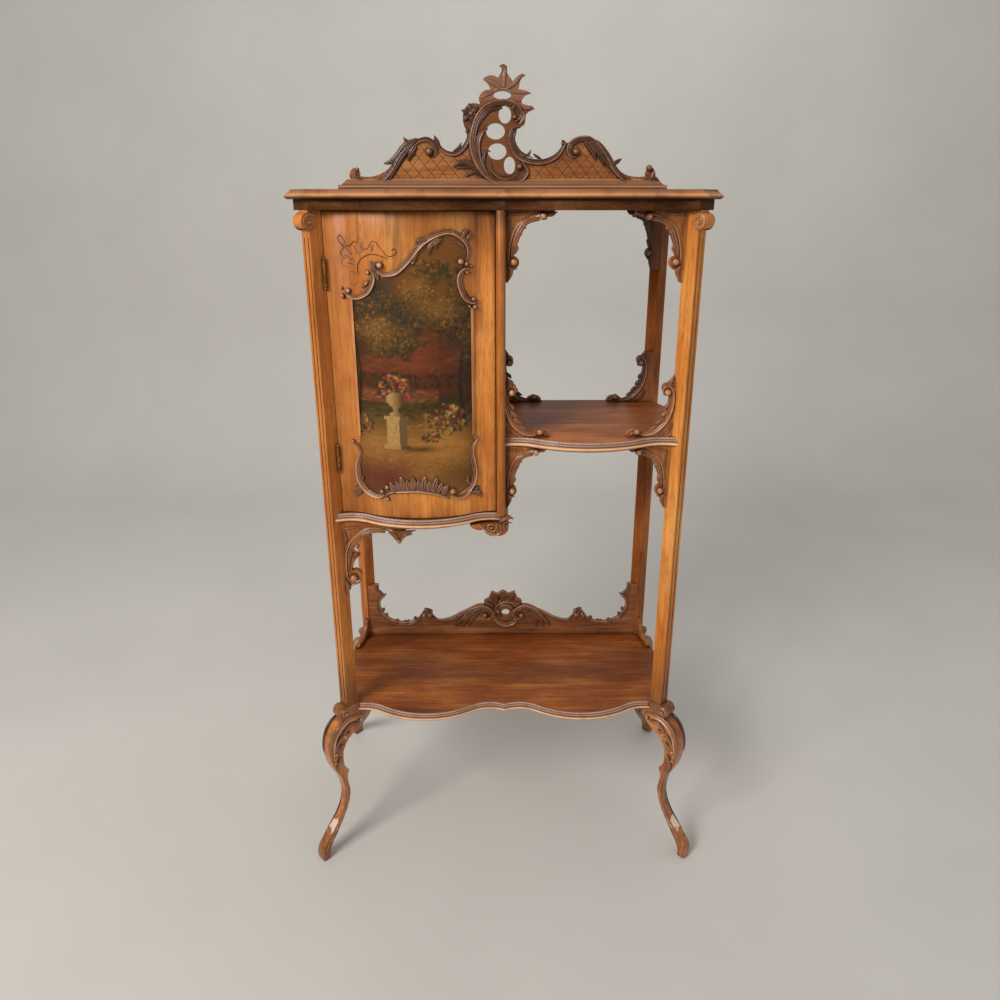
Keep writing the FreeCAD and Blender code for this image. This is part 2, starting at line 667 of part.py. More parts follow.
def door_mouldings():
    """The carved frame round the painted panel: head, foot and two side beads."""
    head_paths = [
        on_head((-114, -130), (-104, -136), (-88, -138), (-72, -126), (-60, -106), (-64, -90)),
        on_head((-55, -92), (-46, -99), (-32, -99), (-14, -88), (6, -68), (26, -46), (46, -35),
                (62, -32), (80, -39), (92, -54), (95, -72), (89, -84)),
        on_head((96, -93), (84, -99), (79, -114), (88, -134), (102, -142), (108, -150)),
    ]
    foot_paths = [
        on_foot((-110, 144), (-102, 127), (-108, 106), (-108, 76), (-94, 53), (-78, 42), (-64, 44)),
        on_foot((-62, 39), (-44, 51), (-4, 56), (36, 51), (54, 39)),
        on_foot((56, 44), (70, 42), (88, 53), (100, 76), (101, 105), (95, 127), (103, 146)),
    ]
    head_rosettes, foot_rosettes = on_head((-58, -92), (90, -87)), on_foot((-62, 41), (55, 41))
    rows = (("head", head_paths, head_rosettes), ("foot", foot_paths, foot_rosettes))
    made = {}
    for part, paths, rosettes in rows:
        area = door_area(ribbon(paths[0], CARVED_BAND))
        for path in paths[1:]:
            area = area.fuse(door_area(ribbon(path, CARVED_BAND)))
        for x, z in rosettes:
            area = area.fuse(cylinder(ROSETTE_R, (x, -TOP_HALF, z), (0, 1, 0), TOP_HALF))
        made["door_" + part + "_carving"] = door_slab(FRAME_RELIEF, FRAME_RELIEF).common(area)
    half = BEAD_WIDTH / 2
    sides = {
        "left": on_foot((-104, 151)) + on_head((-104, -142)),
        "right": on_foot((100, 153)) + on_head((100, -156)),
    }
    for side, ((x, low), (_, high)) in sides.items():
        drawn = chain([(x - half, low), (x + half, low)], [(x + half, high)], [(x - half, high)])
        made["door_bead_" + side] = on_door(drawn, BEAD_RELIEF)
    return made


def hinge_place():
    """The hinge axis in the front left post's own frame: outward, then towards the door."""
    face = POST_SIDE / 2
    towards = face + BARREL_GAP + BARREL_R
    start_x = -POST_X + HALF_DIAG
    axis_y = hollow_at(start_x, -POST_X, DOOR_END_Y) - BARREL_PROUD
    axis_x = -POST_X + towards * ROOT2 + (axis_y + POST_Y)
    outward = -((axis_x + POST_X) + (axis_y + POST_Y)) / ROOT2
    return outward, towards, axis_x, axis_y


def screw(start, direction, grow=0.0):
    """A countersunk screw: head at start, pointing along direction."""
    head = Part.makeCone(SCREW_HEAD_R + grow, SCREW_R + grow, SCREW_HEAD, V(*start), V(*direction))
    return head.fuse(cylinder(SCREW_R + grow, start, direction, SCREW_LONG + grow)).removeSplitter()


def hinge_parts(blank):
    """Leaves, pins and screws of both hinges, and what they cut from the post and the door."""
    out, towards, axis_x, axis_y = hinge_place()
    face = POST_SIDE / 2
    made, pins, case_screws, door_screws, post_cuts, door_cuts = {}, [], [], [], [], []
    screw_y = -POST_Y + (hollow_at(-POST_X + HALF_DIAG, -POST_X, DOOR_END_Y) + DOOR_THICK + POST_Y) / 2
    edge_x = -POST_X + (POST_SIDE + 2 * DOOR_GAP) / ROOT2
    screw_out = (out - face) / 2
    for name, level in HINGE_LEVELS.items():
        low, high = level - HINGE_HALF, level + HINGE_HALF
        bore = cylinder(PIN_R + PIN_GAP, (out, towards, low - 1), (0, 0, 1), 2 * HINGE_HALF + 2)
        plate = box((-face, face - LEAF_THICK, low), (out + BARREL_R, face, high))
        web = box((out + BARREL_R - LEAF_THICK, face - LEAF_THICK, low), (out + BARREL_R, towards, high))
        barrel = cylinder(BARREL_R, (out, towards, low), (0, 0, 1), 2 * HINGE_HALF)
        room = KNUCKLE_HALF + KNUCKLE_GAP
        middle = box((-2 * face, face, level - room), (face, 2 * face, level + room))
        case_leaf = plate.fuse([web.cut(middle), barrel.cut(middle)]).cut(bore)
        post_cuts.append(to_corner(plate, -1, -1))
        knuckle = cylinder(BARREL_R, (out, towards, level - KNUCKLE_HALF), (0, 0, 1), 2 * KNUCKLE_HALF)
        gap_face = face + DOOR_GAP
        low_web = (out - BARREL_R - 2 * LEAF_THICK, gap_face, level - KNUCKLE_HALF)
        tongue = box(low_web, (out, gap_face + LEAF_THICK, level + KNUCKLE_HALF))
        tongue = tongue.fuse(knuckle).cut(bore)
        slab = blank.common(box((-POST_X, -TOP_HALF, low), (0, 0, high)))
        shifted = blank.copy()
        shifted.translate(V(LEAF_THICK, 0, 0))
        band = slab.cut(shifted).common(box((-POST_X, -TOP_HALF, low), (edge_x + LEAF_THICK + 1, 0, high)))
        door_leaf = band.fuse(to_corner(tongue, -1, -1))
        door_cuts.append(door_leaf)
        pin = cylinder(PIN_R, (out, towards, low), (0, 0, 1), 2 * HINGE_HALF)
        for tip in (low - TIP_R + SCREW_GAP, high + TIP_R - SCREW_GAP):
            pin = pin.fuse(Part.makeSphere(TIP_R, V(out, towards, tip)))
        case_cuts, door_holes = [], []
        for step in (-SCREW_SPREAD, SCREW_SPREAD):
            case_at = ((screw_out, face, level + step), (0, -1, 0))
            door_at = ((edge_x, screw_y, level + step), (1, 0, 0))
            case_screws.append(to_corner(screw(*case_at), -1, -1))
            door_screws.append(screw(*door_at))
            case_cuts.append(to_corner(screw(*case_at, SCREW_GAP), -1, -1))
            door_holes.append(screw(*door_at, SCREW_GAP))
        made[name + "_hinge_case_leaf"] = to_corner(case_leaf, -1, -1).cut(Part.Compound(case_cuts))
        made[name + "_hinge_door_leaf"] = door_leaf.cut(Part.Compound(door_holes))
        pins.append(to_corner(pin, -1, -1))
        post_cuts += case_cuts
        door_cuts += door_holes
    made["hinge_pins"] = Part.Compound(pins)
    made["hinge_case_screws"] = Part.Compound(case_screws)
    made["hinge_door_screws"] = Part.Compound(door_screws)
    return made, post_cuts, door_cuts


def door_back(x):
    """Where the door's back lies at x, near its free edge."""
    return hollow_at(-POST_X + CABINET_RIGHT - x, -POST_X, DOOR_END_Y) + DOOR_THICK


def door_stop():
    """The stop on the divider, with its catch leaf and the leaf's screw."""
    left = DIVIDER_LEFT - STOP_WIDTH
    front = door_back(left) + STOP_GAP
    low, high = CATCH_LEVEL - CATCH_HALF, CATCH_LEVEL + CATCH_HALF
    stop = box((left, front, CABINET_TOP), (DIVIDER_LEFT, front + STOP_DEPTH, FRIEZE_BOTTOM))
    outer = left - CATCH_THICK
    leaf_front = front + STOP_GAP
    plate = box((outer, leaf_front, low), (left, front + STOP_DEPTH, high))
    flange = box((left - CATCH_REACH, leaf_front, low), (left, leaf_front + CATCH_THICK, high))
    nose_x = left - CATCH_REACH + CATCH_NOSE_R
    nose_y = door_back(nose_x) + CATCH_GAP + CATCH_NOSE_R
    nose = cylinder(CATCH_NOSE_R, (nose_x, nose_y, low), (0, 0, 1), high - low)
    screw_at = ((outer, front + STOP_DEPTH - SCREW_HEAD_R - CATCH_THICK, CATCH_LEVEL), (1, 0, 0))
    hole = screw(*screw_at, SCREW_GAP)
    return {
        "door_stop": stop.cut(hole),
        "door_catch": plate.fuse([flange, nose]).removeSplitter().cut(hole),
        "catch_screw": screw(*screw_at),
    }


def cabinet_parts():
    """Side, back, divider, stile, inner shelf and cleats."""
    low, high = CABINET_TOP, FRIEZE_BOTTOM
    side_x = -POST_X + SIDE_THICK / 2
    back_y = CABINET_BACK - BACK_THICK
    side = box((-POST_X - SIDE_THICK / 2, -POST_Y, low), (side_x, POST_Y, high))
    back = box((-POST_X, back_y, low), (DIVIDER_RIGHT, CABINET_BACK, high))
    stile = box((STILE_LEFT, STILE_FRONT + STILE_WIDTH / 2, low), (DIVIDER_RIGHT, STILE_BACK, high))
    nose_x, nose_y = STILE_LEFT + STILE_WIDTH / 2, STILE_FRONT + STILE_WIDTH / 2
    nose = cylinder(STILE_WIDTH / 2, (nose_x, nose_y, low), (0, 0, 1), high - low)
    shelf_low = INNER_SHELF_TOP - INNER_SHELF_THICK
    cleat_ends = (INNER_SHELF_FRONT, POST_Y - HALF_DIAG)
    cleats = []
    for x0, x1 in ((side_x, side_x + CLEAT), (DIVIDER_LEFT - CLEAT, DIVIDER_LEFT)):
        cleats.append(box((x0, cleat_ends[0], shelf_low - CLEAT), (x1, cleat_ends[1], shelf_low)))
    shelf_ends = (side_x + SHELF_GAP, DIVIDER_LEFT - SHELF_GAP)
    return {
        "cabinet_left_side": clear_posts(side, names=("front_left", "rear_left")),
        "cabinet_back": clear_posts(back, names=("rear_left",)),
        "cabinet_divider": box((DIVIDER_LEFT, STILE_BACK, low), (DIVIDER_RIGHT, back_y, high)),
        "cabinet_stile": stile.fuse(nose).removeSplitter(),
        "inner_shelf": box((shelf_ends[0], INNER_SHELF_FRONT, shelf_low),
                           (shelf_ends[1], POST_Y - HALF_DIAG - SHELF_GAP, INNER_SHELF_TOP)),
        "shelf_cleats": Part.Compound(cleats),
    }


def boards():
    """The four horizontal boards with moulded serpentine edges."""
    shelf = dict(thick=SHELF_THICK, profile=EDGE_PROFILE)
    lower = moulded_board(LOWER_TOP, left=-POST_X, right=POST_X, y_end=LOWER_END_Y, back=LOWER_BACK,
                          inner=(0.0,), left_bow=SIDE_BOW, right_bow=SIDE_BOW, **shelf)
    middle = moulded_board(MIDDLE_TOP, left=STILE_LEFT, right=POST_X, y_end=BOARD_END_Y, back=MIDDLE_BACK,
                           right_bow=SIDE_BOW, **shelf)
    middle = middle.cut(box((STILE_LEFT, -TOP_HALF, 0), (DIVIDER_RIGHT, TOP_BACK, TOP_LEVEL)))
    cabinet = moulded_board(CABINET_TOP, left=-POST_X, right=CABINET_RIGHT, y_end=BOARD_END_Y,
                            back=CABINET_BACK, left_bow=SIDE_BOW, **shelf)
    top = moulded_board(TOP_LEVEL, TOP_THICK, TOP_PROFILE, left=-TOP_HALF, right=TOP_HALF, y_end=TOP_END_Y,
                        back=TOP_BACK, inner=(0.0,), cant=TOP_CANT, left_bow=TOP_SIDE_BOW,
                        right_bow=TOP_SIDE_BOW)
    return {
        "lower_shelf": clear_posts(lower, side=BLOCK_SIDE),
        "middle_shelf": clear_posts(middle, names=("front_right", "rear_right")),
        "cabinet_bottom": clear_posts(cabinet, names=("front_left", "rear_left")),
        "top_board": top,
    }


def assemble():
    """Every node of the stand by name."""
    nodes = boards()
    nodes.update(frieze_rails())
    blank = door_blank()
    hinges, post_cuts, door_cuts = hinge_parts(blank)
    dowels = []
    for name, (sx, sy) in CORNERS.items():
        nodes[name + "_leg"] = to_corner(leg(), sx, sy)
        nodes[name + "_post"] = to_corner(post(sy < 0), sx, sy)
        dowel = cylinder(DOWEL_R, (0, 0, LEG_TOP - DOWEL_HALF), (0, 0, 1), 2 * DOWEL_HALF)
        dowels.append(to_corner(dowel, sx, sy))
        if sy < 0:
            nodes[name + "_volute"] = to_corner(volute(), sx, sy)
    nodes["leg_dowels"] = Part.Compound(dowels)
    nodes["front_left_post"] = nodes["front_left_post"].cut(Part.Compound(post_cuts))
    nodes["crest_plinth"] = crest_plinth()
    nodes["crest_board"] = crest_board()
    nodes.update(brackets())
    nodes["cabinet_pendant"] = pendant()
    nodes["lower_gallery"] = lower_gallery()
    nodes["side_gallery_left"] = side_gallery(-1)
    nodes["side_gallery_right"] = side_gallery(1)
    nodes.update(cabinet_parts())
    painted = blank.common(door_area(paint_outline()))
    behind = blank.copy()
    behind.translate(V(0, PAINT_THICK, 0))
    nodes["painted_panel"] = painted.cut(behind)
    nodes["door_panel"] = blank.cut(Part.Compound([nodes["painted_panel"], *door_cuts]))
    nodes.update(door_mouldings())
    nodes.update(hinges)
    nodes.update(door_stop())
    return nodes


def main():
    os.makedirs("parts", exist_ok=True)
    nodes = assemble()
    for name, shape in nodes.items():
        shape.exportStep(os.path.join("parts", name + ".step"))
        print(f"{name}: {len(shape.Solids)} solid(s), {shape.Volume / 1000:.1f} cm3, valid {shape.isValid()}")
    print(len(nodes), "nodes")


main()
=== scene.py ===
# %% [markdown]
# # An etagere in carved walnut
# The imported parts come in as a fixed frame: every board, post, hinge and screw is already in its place, in
# metres. This script gives each of them its finish, adds the carving that a saw can't give, and paints the
# door's panel.

# %% Load the frame
import json
import math
import bpy
import numpy as np
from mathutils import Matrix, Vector

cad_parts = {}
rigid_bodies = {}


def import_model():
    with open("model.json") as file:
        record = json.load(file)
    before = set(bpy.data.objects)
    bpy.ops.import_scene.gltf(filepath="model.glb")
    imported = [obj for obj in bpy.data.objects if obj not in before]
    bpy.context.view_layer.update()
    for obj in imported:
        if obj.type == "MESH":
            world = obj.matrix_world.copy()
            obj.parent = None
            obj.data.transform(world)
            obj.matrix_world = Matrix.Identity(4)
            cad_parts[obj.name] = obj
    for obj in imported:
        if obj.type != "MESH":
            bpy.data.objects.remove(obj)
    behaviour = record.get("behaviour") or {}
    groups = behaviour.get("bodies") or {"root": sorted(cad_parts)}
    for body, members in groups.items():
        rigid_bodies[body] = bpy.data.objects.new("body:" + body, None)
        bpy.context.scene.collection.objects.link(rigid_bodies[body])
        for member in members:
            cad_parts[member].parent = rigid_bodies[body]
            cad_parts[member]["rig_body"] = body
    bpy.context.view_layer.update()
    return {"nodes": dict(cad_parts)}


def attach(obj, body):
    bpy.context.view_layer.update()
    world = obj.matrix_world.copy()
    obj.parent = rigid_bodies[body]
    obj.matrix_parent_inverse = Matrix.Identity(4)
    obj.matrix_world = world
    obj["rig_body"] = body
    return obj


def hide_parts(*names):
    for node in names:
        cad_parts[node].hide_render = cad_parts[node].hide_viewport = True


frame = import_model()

scene = bpy.context.scene
nodes = frame["nodes"]
MM = 0.001

# %% [markdown]
# ## Levels
# Finishes and carving follow the boards, so the heights and faces that several steps need are named once,
# in millimetres. Shelves go by their tops, and the door's bay lies between the left post and the stile.

# %% Levels and faces
LOWER_SHELF, CABINET_FLOOR, MIDDLE_SHELF, TOP_BOARD = 338.0, 762.0, 908.0, 1328.0
SHELF_THICK, TOP_THICK, PLINTH_HIGH = 18.0, 15.0, 24.0
FRIEZE_FOOT, PLINTH_TOP = 1296.0, TOP_BOARD + PLINTH_HIGH
BAY_LEFT, BAY_RIGHT = -317.0, 8.0
BAY_MIDDLE, BAY_HALF = (BAY_LEFT + BAY_RIGHT) / 2, (BAY_RIGHT - BAY_LEFT) / 2
POST_X, POST_Y, ROOT2 = 317.0, 138.5, math.sqrt(2.0)
CREST_FACE, CREST_BACK, GALLERY_FACE = 128.0, 144.0, 124.0
print("shelves at", LOWER_SHELF, CABINET_FLOOR, MIDDLE_SHELF, "mm, door bay", 2 * BAY_HALF, "mm wide")

# %% [markdown]
# ## Camera
# The photograph looks down a little from just under the top board's height, close to the stand, so the
# posts lean towards each other on their way down. A tilted camera with a wide lens gives that by itself.
# The stand is turned a little to the camera, which is done by walking the camera round it. The shift only
# centres the frame.

# %% Camera
TURN, TILT = math.radians(-0.55), math.radians(71.2)
AWAY, EYE_HEIGHT = 1.4363, 1.304
FILM_WIDTH, LENS, SHIFT_ACROSS, SHIFT_UP = 36.0, 27.04, -0.0035, -0.0393
camera_data = bpy.data.cameras.new("camera")
camera_data.sensor_width, camera_data.lens = FILM_WIDTH, LENS
camera_data.shift_x, camera_data.shift_y = SHIFT_ACROSS, SHIFT_UP
camera = bpy.data.objects.new("camera", camera_data)
camera.location = (AWAY * math.sin(TURN), -AWAY * math.cos(TURN), EYE_HEIGHT)
camera.rotation_euler = (TILT, 0.0, TURN)
scene.collection.objects.link(camera)
scene.camera = camera
scene.view_settings.view_transform = "Standard"
print("camera at", tuple(round(c, 3) for c in camera.location))

# %% [markdown]
# ## Finishes
# Every finish is one material made of nodes. Shader maths reads badly as a list of nodes and links, so a
# small class wraps a socket and overloads the operators: `1 - mask` then adds the Math node by itself.

# %% A socket with arithmetic
def maths(operation, swapped=False):
    """A method that adds a Math node. Swapped, it is the reflected form of its operator."""
    def act(self, other=0.0):
        first, second = (other, self) if swapped else (self, other)
        return self.finish.node("Math", {"operation": operation}, {0: first, 1: second})

    return act


class Wire:
    """A socket of a material, with arithmetic on values."""

    __add__, __radd__ = maths("ADD"), maths("ADD", swapped=True)
    __sub__, __rsub__ = maths("SUBTRACT"), maths("SUBTRACT", swapped=True)
    __mul__, __rmul__ = maths("MULTIPLY"), maths("MULTIPLY", swapped=True)
    __truediv__ = maths("DIVIDE")
    most, size, part = maths("MAXIMUM"), maths("ABSOLUTE"), maths("FRACT")

    def __init__(self, finish, socket):
        self.finish, self.socket = finish, socket


# %% [markdown]
# Any other node comes from one method that takes its type, its settings and its inputs. An input is either
# a wire, which is linked, or a plain value.

# %% A material built by expressions
class NodeMaterial:
    """A material with one principled shader, built by expressions."""

    def __init__(self, name):
        self.material = bpy.data.materials.new(name)
        self.material.use_nodes = True
        self.tree = self.material.node_tree
        self.shader = next(n for n in self.tree.nodes if n.type == "BSDF_PRINCIPLED")
        self.place = self.node("TexCoord", out="Object")

    def node(self, kind, settings=None, inputs=None, out=0):
        made = self.tree.nodes.new("ShaderNode" + kind)
        for key, value in (settings or {}).items():
            if key == "stops":
                ramp = made.color_ramp
                while len(ramp.elements) < len(value):
                    ramp.elements.new(0.5)
                for element, (position, colour) in zip(ramp.elements, value):
                    element.position, element.color = position, (*colour, 1.0)
            else:
                setattr(made, key, value)
        for key, value in (inputs or {}).items():
            self.feed(made.inputs[key], value)
        return Wire(self, made.outputs[out])

    def feed(self, socket, value):
        if isinstance(value, Wire):
            self.tree.links.new(value.socket, socket)
        elif hasattr(socket.default_value, "__len__") and len(value) < len(socket.default_value):
            socket.default_value = (*value, 1.0)
        else:
            socket.default_value = value


# %% [markdown]
# On that stands the vocabulary of this stand's finishes: noise along the grain, soft bands between two
# values or two places in millimetres, edges that wander, layers of tint, and the darkening of inner corners,
# which is painted shade with the dust that sits there.

# %% The words of a finish
class Finish(NodeMaterial):
    """A material with the few means that every finish here is made with."""

    def axes(self):
        """Where a point lies: across, in depth and up, in metres."""
        return [self.node("SeparateXYZ", None, {0: self.place}, out=i) for i in range(3)]

    def noise(self, scale, stretch=(1.0, 1.0, 1.0), detail=3.0, rough=0.55, warp=0.0):
        at = self.node("VectorMath", {"operation": "MULTIPLY"}, {0: self.place, 1: stretch})
        inputs = {"Vector": at, "Scale": scale, "Detail": detail, "Roughness": rough, "Distortion": warp}
        return self.node("TexNoise", None, inputs)

    def ramp(self, value, *stops):
        return self.node("ValToRGB", {"stops": stops}, {0: value})

    def band(self, value, low, high):
        """A soft step from 0 to 1 between two values."""
        return self.node("MapRange", {"interpolation_type": "SMOOTHSTEP"}, {0: value, 1: low, 2: high})

    def zone(self, value, low, high):
        """A soft step between two places in millimetres."""
        return self.band(value, low * MM, high * MM)

    def ragged(self, value, wander, scale):
        """A place that wanders to and fro over so many millimetres."""
        return value + wander * MM * (self.noise(scale) - 0.5)

    def blend(self, factor, a, b, mode="MIX"):
        settings = {"data_type": "RGBA", "blend_type": mode}
        return self.node("Mix", settings, {0: factor, 6: a, 7: b}, out=2)

    def tinted(self, colour, *layers):
        """A colour under layers of (mask, tint), each over the one before."""
        for mask, tint in layers:
            colour = self.blend(mask, colour, tint)
        return colour

    def attribute(self, name, out="Fac"):
        return self.node("Attribute", {"attribute_name": name}, out=out)

    def bump(self, height, distance, strength=0.5):
        return self.node("Bump", None, {"Height": height, "Distance": distance, "Strength": strength})

    def dust_and_shade(self, reach=0.014, low=0.25, high=0.88):
        """Inner corners, as ambient occlusion finds them: painted shade, with the dust that sits there."""
        corner = self.node("AmbientOcclusion", {"samples": 6}, {"Distance": reach}, out="AO")
        return 1 - self.band(corner, low, high)

    def wear(self, **sockets):
        for key, value in sockets.items():
            self.feed(self.shader.inputs[key.replace("_", " ").title()], value)


# %% [markdown]
# Colours are written as they look on a screen, from 0 to 255, because that is where they were matched to
# the photograph. The shader wants linear light, so one function turns them.

# %% Colours
def rgb(r, g, b):
    """A colour written as it looks on screen, 0 to 255, in the shader's linear light."""
    shares = [c / 255 for c in (r, g, b)]
    return tuple(c / 12.92 if c <= 0.04045 else ((c + 0.055) / 1.055) ** 2.4 for c in shares)


def times(colour, share):
    return tuple(share * c for c in colour)


print("grey 128 is", round(rgb(128, 128, 128)[0], 3), "in linear light")

# %% [markdown]
# ### Walnut
# The case is golden walnut under old shellac, with its grain along each piece: upright on the posts, the
# door and the stile, across on the shelves. Noise that is stretched hard along the grain gives the fibres,
# a broader one the figure, and the thinnest one the pores. Every inner corner is darkened: painted shade,
# with the dust that sits there. A painted texture could show one board better, but this way every board
# has its own figure and no seams.

# %% Walnut finish
UPRIGHT, ACROSS = (1.0, 1.0, 0.06), (0.05, 1.0, 1.0)
# The colour and share of the painted shade in inner corners, with the dust there.
CORNER_DUST_AND_SHADE, CORNER_DUST_AND_SHADE_SHARE = rgb(30, 14, 7), 0.85
SHINE, POLISH, POLISH_ROUGH = 0.26, 0.08, 0.16
GRAIN_DEPTH = 0.00025


def polish(finish, weight=POLISH, shine=SHINE):
    """Shellac: how strong its coat is, and how much the surface under it shines."""
    coat = {"Specular IOR Level": shine, "Coat Weight": weight, "Coat Roughness": POLISH_ROUGH}
    for socket, value in coat.items():
        finish.shader.inputs[socket].default_value = value
    return finish.material


def shorter(grain, least):
    """A grain whose fibres are not so long."""
    return tuple(max(c, least) for c in grain)


def walnut(name, grain, palette, streaks=0.25, rough=0.34, gloss=(POLISH, SHINE), extra=None):
    """Walnut in a dark, a middle and a light tone, with whatever its place on the stand adds to it."""
    dark, middle, light = palette
    finish = Finish(name)
    figure = finish.noise(9.0, grain, detail=2.0, warp=0.8)
    fibre = finish.noise(170.0, grain, detail=5.0, rough=0.7, warp=0.35)
    cloud = finish.noise(6.0)
    blotch = finish.noise(21.0, shorter(grain, 0.3), detail=4.0, rough=0.65)
    tone = 0.20 * figure + 0.30 * fibre + 0.22 * cloud + 0.28 * blotch
    colour = finish.ramp(tone, (0.39, dark), (0.50, middle), (0.61, light))
    streak = finish.band(finish.noise(30.0, grain, detail=4.0, warp=0.5), 0.55, 0.74)
    flecks = finish.band(finish.noise(330.0, shorter(grain, 0.13), detail=2.0), 0.60, 0.68)
    pores = finish.band(finish.noise(640.0, grain, detail=2.0), 0.60, 0.70)
    colour = finish.tinted(colour, (streaks * streak, times(dark, 0.5)), (0.32 * flecks, times(dark, 0.45)),
                           (0.45 * pores, times(dark, 0.4)))
    height = 0.6 * fibre - 0.8 * pores
    if extra:
        colour, height = extra(finish, colour, height)
    # Inner corners darkened: painted shade, with the dust that sits there.
    dust_and_shade = CORNER_DUST_AND_SHADE_SHARE * finish.dust_and_shade()
    colour = finish.blend(dust_and_shade, colour, CORNER_DUST_AND_SHADE)
    sheen = rough + 0.16 * fibre + 0.25 * dust_and_shade
    finish.wear(base_color=colour, roughness=sheen, normal=finish.bump(height, GRAIN_DEPTH))
    return polish(finish, *gloss)


# %% [markdown]
# Each part of the stand has its own tone, and the frieze's dark brown is painted shade under the top board's
# overhang. A palette holds a dark, a middle and a light tone, and one call makes a finish of it.

# %% Walnut in its tones
GOLDEN = (rgb(158, 84, 26), rgb(206, 124, 50), rgb(234, 160, 80))
WARM = (rgb(112, 58, 20), rgb(160, 92, 38), rgb(196, 126, 62))
FRIEZE_SHADE_TONES = (rgb(62, 32, 11), rgb(92, 53, 22), rgb(122, 77, 37))
GALLERY_TONES = (rgb(96, 54, 30), rgb(146, 90, 54), rgb(182, 126, 82))
INNER_TONES = (rgb(120, 76, 44), rgb(150, 100, 60), rgb(176, 124, 78))
BEAD_TONES = (rgb(146, 86, 44), rgb(192, 124, 70), rgb(226, 166, 108))
case_walnut = walnut("case_walnut", UPRIGHT, GOLDEN)
warm_walnut = walnut("warm_walnut", UPRIGHT, WARM)
gallery_walnut = walnut("gallery_walnut", ACROSS, GALLERY_TONES)
# The frieze is painted darker, as the shade under the top board's overhang.
frieze_walnut = walnut("frieze_walnut", ACROSS, FRIEZE_SHADE_TONES, gloss=(0.0, 0.10))
inner_wood = walnut("inner_wood", UPRIGHT, INNER_TONES, rough=0.55)
bead_walnut = walnut("bead_walnut", UPRIGHT, BEAD_TONES)
print(len(case_walnut.node_tree.nodes), "nodes in the plain walnut")

# %% [markdown]
# The plinth under the crest is stepped, with a pale line on each arris, partly rubbed and partly a painted
# highlight, and a dark line of painted shade in each quirk. A ramp over its height draws them. The rear posts
# are browner, as painted shade, and darkest under the top. The head of the stile is darkened the same way.

# %% Plinth, rear post and stile finishes
# Pale lines of wear and painted highlight on the arrises, dark lines of painted shade in the quirks.
PLINTH_LINES = [(0.0, rgb(210, 172, 144)), (0.09, rgb(150, 100, 70)), (0.40, rgb(146, 96, 64)),
                (0.47, rgb(56, 31, 18)), (0.56, rgb(220, 180, 150)), (0.64, rgb(150, 102, 74)),
                (0.71, rgb(58, 32, 19)), (0.80, rgb(156, 106, 76)), (0.92, rgb(122, 80, 54)),
                (1.0, rgb(46, 25, 14))]


def stepped(finish, colour, height):
    """Pale and dark lines along the plinth's steps, counted from its top: painted highlight on the arrises,
    with their wear, and painted shade in the quirks.
    """
    level = (PLINTH_TOP * MM - finish.axes()[2]) / (PLINTH_HIGH * MM)
    worn = finish.noise(45.0, (0.2, 1.0, 1.0))
    lines = finish.ramp(level + 0.05 * (worn - 0.5), *PLINTH_LINES)
    return finish.blend(0.62, colour, lines), height


def shaded_upwards(low, high, wander, scale, tint):
    """Painted shade: darker wood from one height up to another, with a wandering edge."""
    def extra(finish, colour, height):
        top = finish.zone(finish.ragged(finish.axes()[2], wander, scale), low, high)
        return finish.blend(0.62 * top, colour, tint), height

    return extra


AGED = (rgb(124, 63, 20), rgb(168, 98, 38), rgb(198, 130, 62))
PLINTH = (rgb(98, 58, 30), rgb(146, 94, 52), rgb(184, 132, 84))
# The rear posts' browner tones are painted shade.
REAR_SHADE_TONES = (rgb(118, 62, 26), rgb(176, 102, 48), rgb(216, 142, 74))
SHADED = (rgb(98, 54, 26), rgb(144, 88, 46), rgb(180, 122, 68))
# Painted shade under the top board, and under the frieze at the head of the stile.
shade_under_top = shaded_upwards(1050, 1280, 80, 8.0, rgb(44, 22, 10))
shade_under_frieze = shaded_upwards(1255, 1292, 12, 20.0, rgb(58, 30, 14))
plinth_walnut = walnut("plinth_walnut", ACROSS, PLINTH, extra=stepped)
rear_walnut = walnut("rear_walnut", UPRIGHT, REAR_SHADE_TONES, gloss=(0.0, 0.12), extra=shade_under_top)
aged_walnut = walnut("aged_walnut", UPRIGHT, AGED, extra=shade_under_frieze)
shaded_walnut = walnut("shaded_walnut", UPRIGHT, SHADED, extra=shade_under_top)
print(len(PLINTH_LINES), "lines on the plinth")

# %% [markdown]
# ### Door
# The door is painted darker on its left, as shade. Around the carved frame the duster leaves cloudy, darker
# wood, dark runs hang down from its upper edge, and its two upright edges are dark, partly from hands and
# partly painted shade beside the post and the stile. Each of these is one mask by place and noise, laid over
# the plain walnut as a tint.

# %% Door finish
LEFT_SHADE, HEAD_RUNS = (-300, -100), (1180, FRIEZE_FOOT)
CROWN_UP, CROWN_ACROSS, RIM_WIDE = (1215, 1285), (-260, -150), 8.0


